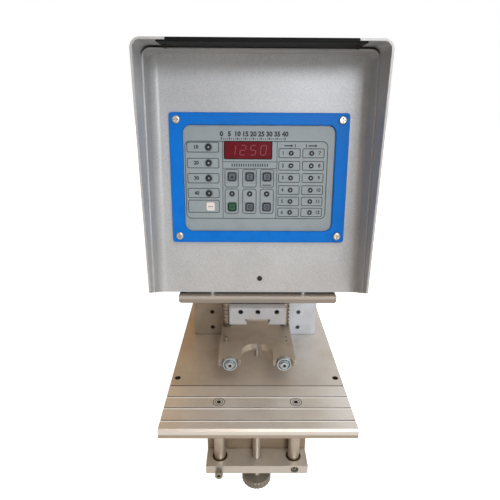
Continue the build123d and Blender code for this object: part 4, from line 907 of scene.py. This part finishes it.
# Pale surrounds of the upper keys, and the dark rim and ring on the keys themselves
HALO_MM = (11.4, 12.6, 3.4)
HALO_HEIGHT_MM = 2.2
HALO_LINE_MM = 0.5
KEY_RIM_MM = (7.3, 7.3, 1.9)
KEY_RIM_LINE_MM = 0.9
KEY_RING_MM = (1.6, 0.6)
# Lamp rims: the outer radius of each group, the open middle, the rise and the crown's share
SIDE_RIM_MM = 3.2
LOWER_RIM_MM = 2.8
PORT_RIM_MM = 2.45
RIM_OPENING_MM = 0.95
RIM_RISE_MM = 0.75
RIM_CROWN_SHARE = 0.7
SIDE_LAMP_RING_MM = (3.75, 0.3)
# Numbers: size and stroke for the ports, the side lamps and the upper scale, and where they stand
PORT_NUMBER_MM = (4.8, 0.15)
PORT_NUMBER_COLUMNS_MM = (24.4, 61.6)
SIDE_NUMBER_MM = (5.0, 0.2)
SIDE_NUMBER_COLUMN_MM = -64.0
SCALE_NUMBER_MM = (6.4, 0.32)
SCALE_NUMBER_ROW_MM = 45.0


def points_mm(places, level):
    """Seed points on the panel from millimetre pairs, at one level over its back."""
    return [(x * MM, y * MM, level * MM) for x, y in places]


def outlines_mm(width, height, corner, places, line=LINE_MM, level=PRINT_LEVEL_MM):
    """Printed outlines of one size round the given middles."""
    sizes = {"Width": width * MM, "Height": height * MM, "Corner": corner * MM, "Line": line * MM,
             "Ink": INK_MM * MM}
    return grow(INK_OUTLINES, points_mm(places, level), sizes)


def bars_mm(width, height, places, level=PRINT_LEVEL_MM):
    """Flat printed bars of one size on the given middles."""
    sizes = {"Length": width * MM, "Depth": height * MM, "Height": INK_MM * MM}
    return grow(INK_BARS, points_mm(places, level), sizes)


def rings_mm(radius, line, places, level=PRINT_LEVEL_MM):
    """Printed rings of one size round the given middles."""
    sizes = {"Radius": radius * MM, "Line": line * MM, "Ink": INK_MM * MM}
    return grow(INK_RINGS, points_mm(places, level), sizes)


def patch_mm(outline, level=OVERLAY_MM):
    """A flat printed patch inside an outline of millimetre pairs."""
    shape = bmesh.new()
    base = [shape.verts.new(Vector((x, y, level)) * MM) for x, y in outline]
    top = [shape.verts.new(Vector((x, y, level + INK_MM)) * MM) for x, y in outline]
    shape.faces.new(top)
    shape.faces.new(list(reversed(base)))
    for corner in range(len(outline)):
        after = (corner + 1) % len(outline)
        shape.faces.new((base[corner], base[after], top[after], top[corner]))
    bmesh.ops.recalc_face_normals(shape, faces=shape.faces)
    mesh = bpy.data.meshes.new("patch")
    shape.to_mesh(mesh)
    shape.free()
    return mesh


def on_panel(name, parts, finish, body="frame"):
    """Joins the printed parts and lays them on the panel."""
    mesh = join_meshes(name, parts)
    mesh.transform(PANEL)
    return stand_piece(name, mesh, body, finish)


def arrow(x, y):
    """The outline of an arrow that points right."""
    tip = x + ARROW_LENGTH_MM
    neck = tip - ARROW_HALF_WIDTH_MM * ARROW_HEAD_SHARE
    shaft = ARROW_HALF_WIDTH_MM * ARROW_SHAFT_SHARE
    return [(x, y - shaft), (neck, y - shaft), (neck, y - ARROW_HALF_WIDTH_MM), (tip, y),
            (neck, y + ARROW_HALF_WIDTH_MM), (neck, y + shaft), (x, y + shaft)]


def build_print():
    """The panel's printed boxes, scales and arrows."""
    lines = [outlines_mm(*box) for box in BOXES_MM] + [bars_mm(*bar) for bar in DIVIDERS_MM]
    on_panel("panel_lines", lines, printing_ink)
    marks = [bars_mm(*bar) for bar in SCALE_BARS_MM] + [patch_mm(arrow(*place)) for place in ARROWS_MM]
    on_panel("panel_scale", marks, black_ink)
    left, right, low, high = DISPLAY_MM
    border = outlines_mm(
        right - left + BORDER_SPARE_MM, high - low + BORDER_SPARE_MM, BORDER_CORNER_MM,
        [((left + right) / 2, (low + high) / 2)], BORDER_LINE_MM, OVERLAY_MM + INK_MM,
    )
    on_panel("display_border", [border], black_ink)
    halo = outlines_mm(*HALO_MM, [(x, HALO_HEIGHT_MM) for x in KEY_COLUMNS_MM], HALO_LINE_MM)
    on_panel("key_surrounds", [halo], pale_ink)


def build_lamp_rims():
    """Black rims that leave only the middle of each lens open."""
    side = [(SIDE_LAMP_MM, y) for y in SIDE_LAMP_ROWS_MM]
    lower = [(x, LOWER_LAMP_MM) for x in KEY_COLUMNS_MM]
    ports = [(x, y) for x in PORT_COLUMNS_MM for y in PORT_ROWS_MM]
    rims = rim_tree(black_ink)
    parts = []
    for places, outer in ((side, SIDE_RIM_MM), (lower, LOWER_RIM_MM), (ports, PORT_RIM_MM)):
        foot = outer - RIM_OPENING_MM
        sizes = {"Radius": (outer + RIM_OPENING_MM) / 2 * MM, "Foot": foot * MM,
                 "Crown": foot * RIM_CROWN_SHARE * MM, "Rise": RIM_RISE_MM * MM}
        parts.append(grow(rims, points_mm(places, OVERLAY_MM + RIM_RISE_MM / 2), sizes))
    parts.append(rings_mm(*SIDE_LAMP_RING_MM, side))
    on_panel("lamp_rims", parts, black_ink)


def number_mesh(value, size_mm, place):
    """A plain printed number, centred on its place, from its size and how much its stroke swells."""
    curve = bpy.data.curves.new("number", "FONT")
    curve.body = str(value)
    curve.size = size_mm[0] * MM
    curve.align_x = "CENTER"
    curve.align_y = "CENTER"
    curve.offset = size_mm[1] * MM
    curve.extrude = INK_MM / 2 * MM
    curve.resolution_u = 3
    holder = bpy.data.objects.new("number", curve)
    bpy.context.scene.collection.objects.link(holder)
    mesh = evaluated_mesh(holder)
    mesh.transform(Matrix.Translation(Vector((*place, PRINT_LEVEL_MM)) * MM))
    return mesh


def build_numbers():
    """Plain numbers beside the lamps and over the upper scale."""
    meshes = []
    left, right = PORT_NUMBER_COLUMNS_MM
    for row, y in enumerate(PORT_ROWS_MM, start=1):
        meshes.append(number_mesh(row, PORT_NUMBER_MM, (left, y)))
        meshes.append(number_mesh(row + len(PORT_ROWS_MM), PORT_NUMBER_MM, (right, y)))
    for row, y in enumerate(SIDE_LAMP_ROWS_MM, start=1):
        meshes.append(number_mesh(row * 10, SIDE_NUMBER_MM, (SIDE_NUMBER_COLUMN_MM, y)))
    for index in range(SCALE_MARKS):
        place = (SCALE_LEFT_MM + index * SCALE_STEP_MM, SCALE_NUMBER_ROW_MM)
        meshes.append(number_mesh(index * 5, SCALE_NUMBER_MM, place))
    on_panel("panel_numbers", meshes, black_ink)


# Digits of seven segments: each segment's place across and up, and whether it stands upright
SEGMENTS = {
    "a": (0, 1, 0), "b": (0.5, 0.5, 1), "c": (0.5, -0.5, 1), "d": (0, -1, 0),
    "e": (-0.5, -0.5, 1), "f": (-0.5, 0.5, 1), "g": (0, 0, 0),
}
DIGITS = {"0": "abcdef", "1": "bc", "2": "abged", "5": "afgcd"}
DIGIT_STEP_MM = 10.4
DIGIT_WIDTH_MM = 5.4
DIGIT_HALF_HEIGHT_MM = 4.7
DIGIT_SLANT = 0.12
SEGMENT_HALF_LENGTH_MM = 2.3
SEGMENT_HALF_WIDTH_MM = 0.5


def segment(across, up, upright):
    """One six-sided bar of a digit, leaning with it."""
    half = SEGMENT_HALF_LENGTH_MM
    tip = SEGMENT_HALF_WIDTH_MM
    outline = [(-half, 0), (-half + tip, tip), (half - tip, tip), (half, 0), (half - tip, -tip),
               (-half + tip, -tip)]
    if upright:
        outline = [(-y, x) for x, y in outline]
    return [(across + x + DIGIT_SLANT * (up + y), up + y) for x, y in outline]


def build_digits(text):
    """Lit seven-segment digits in the display window."""
    left, right, low, high = DISPLAY_MM
    start = (left + right) / 2 - DIGIT_STEP_MM * (len(text) - 1) / 2
    middle = (low + high) / 2
    parts = []
    for index, digit in enumerate(text):
        for name in DIGITS[digit]:
            across, up, upright = SEGMENTS[name]
            outline = segment(across * DIGIT_WIDTH_MM, up * DIGIT_HALF_HEIGHT_MM, upright)
            parts.append(patch_mm([(start + index * DIGIT_STEP_MM + x, middle + y) for x, y in outline]))
    on_panel("display_digits", parts, red_segment)


# Marks on the keys, from each key's middle: triangles, then bars with width, height and middle
KEY_MARKS_MM = {
    "key_upper_1": ([((-2.1, -1.7), (2.1, -1.7), (0, 2.0))], []),
    "key_upper_2": (
        [((0, 2.3), (-1.3, 0.9), (1.3, 0.9)), ((0, -2.3), (1.3, -0.9), (-1.3, -0.9))],
        [(0.7, 1.8, (0, 0))],
    ),
    "key_lower_1": ([((-1.2, -1.7), (1.9, 0), (-1.2, 1.7))], []),
    "key_lower_2": ([], [(0.9, 0.9, (0, 0))]),
    "key_side": ([], [(1.0, 0.9, (x, 0)) for x in (-1.8, 0, 1.8)]),
}
KEY_MARKS_MM["key_upper_3"] = KEY_MARKS_MM["key_upper_2"]
KEY_MARKS_MM["key_lower_3"] = KEY_MARKS_MM["key_lower_2"]


def build_key_marks():
    """A dark rim and a plain mark on each key."""
    places = {}
    for number, x in enumerate(KEY_COLUMNS_MM, start=1):
        places["key_upper_" + str(number)] = (x, UPPER_KEY_MM)
        places["key_lower_" + str(number)] = (x, LOWER_KEY_MM)
    places["key_side"] = SIDE_KEY_MM
    for key, (x, y) in places.items():
        triangles, bars = KEY_MARKS_MM[key]
        parts = [patch_mm([(x + a, y + b) for a, b in corners], KEY_FACE_MM) for corners in triangles]
        for width, height, (a, b) in bars:
            parts.append(bars_mm(width, height, [(x + a, y + b)], KEY_PRINT_LEVEL_MM))
        if key != "key_side":
            parts.append(outlines_mm(*KEY_RIM_MM, [(x, y)], KEY_RIM_LINE_MM, KEY_PRINT_LEVEL_MM))
        if key in ("key_lower_2", "key_lower_3"):
            parts.append(rings_mm(*KEY_RING_MM, [(x, y)], KEY_PRINT_LEVEL_MM))
        on_panel(key + "_mark", parts, black_ink, key)


build_print()
build_lamp_rims()
build_numbers()
build_digits("1250")
build_key_marks()


# Painted shade and painted highlights on the machined pieces

# Slots and the joint behind the table: depth and height of each strip, and how far its middle lies
# below the plate's top
SLOT_PLACES_MM = (-107.4, -125.3, -143.9)
SLOT_MOUTH_MM = 3.0
LIP_MM = (1.7, 0.6)
LIP_DROP_MM = 0.35
WALL_MM = (1.1, 2.8)
WALL_DROP_MM = 1.6
JOINT_MM = (1.0, 1.4)
JOINT_DROP_MM = 0.8
STRIP_SPARE_MM = 0.4
# Holes: the bed's two, and the two peg holes in the fork
LINER_MM = 0.2
BED_HOLE_MM = 7.0
BED_HOLE_PLACES_MM = ((-93.0, -73.0), (93.0, -73.0))
PEG_HOLE_MM = 2.2
PEG_HOLE_PLACES_MM = ((37.0, -34.0), (37.0, -42.5))
PEG_LINER_MM = 4.0
PEG_LINER_DROP_MM = 2.2
# Rings on the table's screws, as radius and line: head, socket's edge and socket
TABLE_SCREW_HEAD_MM = 12.5
SCREW_RINGS_MM = ((TABLE_SCREW_HEAD_MM / 2, 0.7), (3.875, 0.5), (1.2, 2.2))
SCREW_RING_HEIGHT_MM = 0.1
# Rings on the rollers and axles: radius, line and depth behind the face
ROLLER_GROOVE_MM = (6.0, 0.8, 0.35)
AXLE_SOCKET_MM = (0.95, 1.7, 0.7)
FACE_MARK_HEIGHT_MM = 0.3


def lay_strips(name, tree, places, length, size_mm, body, finish):
    """Long strips of one depth and height on the given middles."""
    sizes = {"Length": length, "Depth": size_mm[0] * MM, "Height": size_mm[1] * MM}
    stand_piece(name, grow(tree, places, sizes), body, finish)


def oil_rings(places, radius, line, height):
    """Rings of painted shade, all sizes in millimetres but the places."""
    return grow(SHADE_RINGS, places, {"Radius": radius * MM, "Line": line * MM, "Ink": height * MM})


def build_slot_strips():
    """A painted highlight on the front lip and painted shade on the back wall of each slot, and painted
    shade in the joint behind the table.
    """
    low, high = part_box("work_table")
    length = high.x - low.x - STRIP_SPARE_MM * MM
    lip_shift = (LIP_MM[0] - SLOT_MOUTH_MM) / 2
    wall_shift = (SLOT_MOUTH_MM - WALL_MM[0]) / 2
    lips = [(0, (y + lip_shift) * MM, high.z - LIP_DROP_MM * MM) for y in SLOT_PLACES_MM]
    walls = [(0, (y + wall_shift) * MM, high.z - WALL_DROP_MM * MM) for y in SLOT_PLACES_MM]
    lay_strips("slot_lip_highlight_strips", block_tree(lip_highlight_finish), lips, length, LIP_MM, "table", lip_highlight_finish)
    lay_strips("slot_wall_shade", SHADE_STRIPS, walls, length, WALL_MM, "table", hollow_shade)
    bed_low, bed_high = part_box("bed_plate")
    joint = [(0, bed_low.y - JOINT_MM[0] / 2 * MM, bed_high.z - JOINT_DROP_MM * MM)]
    lay_strips("bed_joint_shade", SHADE_STRIPS, joint, length, JOINT_MM, "frame", hollow_shade)


def build_hole_liners():
    """Painted shade on the walls of the holes in the bed and the fork."""
    low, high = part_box("bed_plate")
    places = [(x * MM, y * MM, (low.z + high.z) / 2) for x, y in BED_HOLE_PLACES_MM]
    height = (high.z - low.z) / MM - STRIP_SPARE_MM
    bed = oil_rings(places, (BED_HOLE_MM - LINER_MM) / 2, LINER_MM, height)
    stand_piece("bed_hole_shade", bed, "frame", hollow_shade)
    low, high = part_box("fork_plate")
    places = [(x * MM, y * MM, high.z - PEG_LINER_DROP_MM * MM) for x, y in PEG_HOLE_PLACES_MM]
    pegs = oil_rings(places, (PEG_HOLE_MM - LINER_MM) / 2, LINER_MM, PEG_LINER_MM)
    stand_piece("peg_hole_shade", pegs, "fork", hollow_shade)


def build_screw_rings():
    """Painted shade in the clearance round the table's screws and in their hex sockets."""
    low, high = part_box("table_screws")
    head = TABLE_SCREW_HEAD_MM / 2 * MM
    middle = (low.y + high.y) / 2
    places = [(x, middle, high.z) for x in (low.x + head, high.x - head)]
    parts = [oil_rings(places, *ring, SCREW_RING_HEIGHT_MM) for ring in SCREW_RINGS_MM]
    stand_piece("table_screw_shade_rings", join_meshes("table_screw_shade_rings", parts), "table", hollow_shade)


def face_ring(size_mm, x, y, z):
    """A ring of painted shade on a face that looks forwards: radius, line and depth behind the face."""
    radius, line, depth = size_mm
    ring = oil_rings([(0, 0, 0)], radius, line, FACE_MARK_HEIGHT_MM)
    ring.transform(Matrix.Rotation(math.radians(90), 4, "X"))
    ring.transform(Matrix.Translation((x, y + depth * MM, z)))
    return ring


def build_roller_marks():
    """Painted shade in the roller's face groove and in the axle's hex socket."""
    axle_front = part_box("roller_axles")[0].y
    sockets = []
    for node, body in (("roller_left", "left_roller"), ("roller_right", "right_roller")):
        low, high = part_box(node)
        middle = (low + high) / 2
        groove = face_ring(ROLLER_GROOVE_MM, middle.x, low.y, middle.z)
        stand_piece(node + "_groove", groove, body, hollow_shade)
        sockets.append(face_ring(AXLE_SOCKET_MM, middle.x, axle_front, middle.z))
    stand_piece("axle_socket_shade", join_meshes("axle_socket_shade", sockets), "fork", hollow_shade)


build_slot_strips()
build_hole_liners()
build_screw_rings()
build_roller_marks()
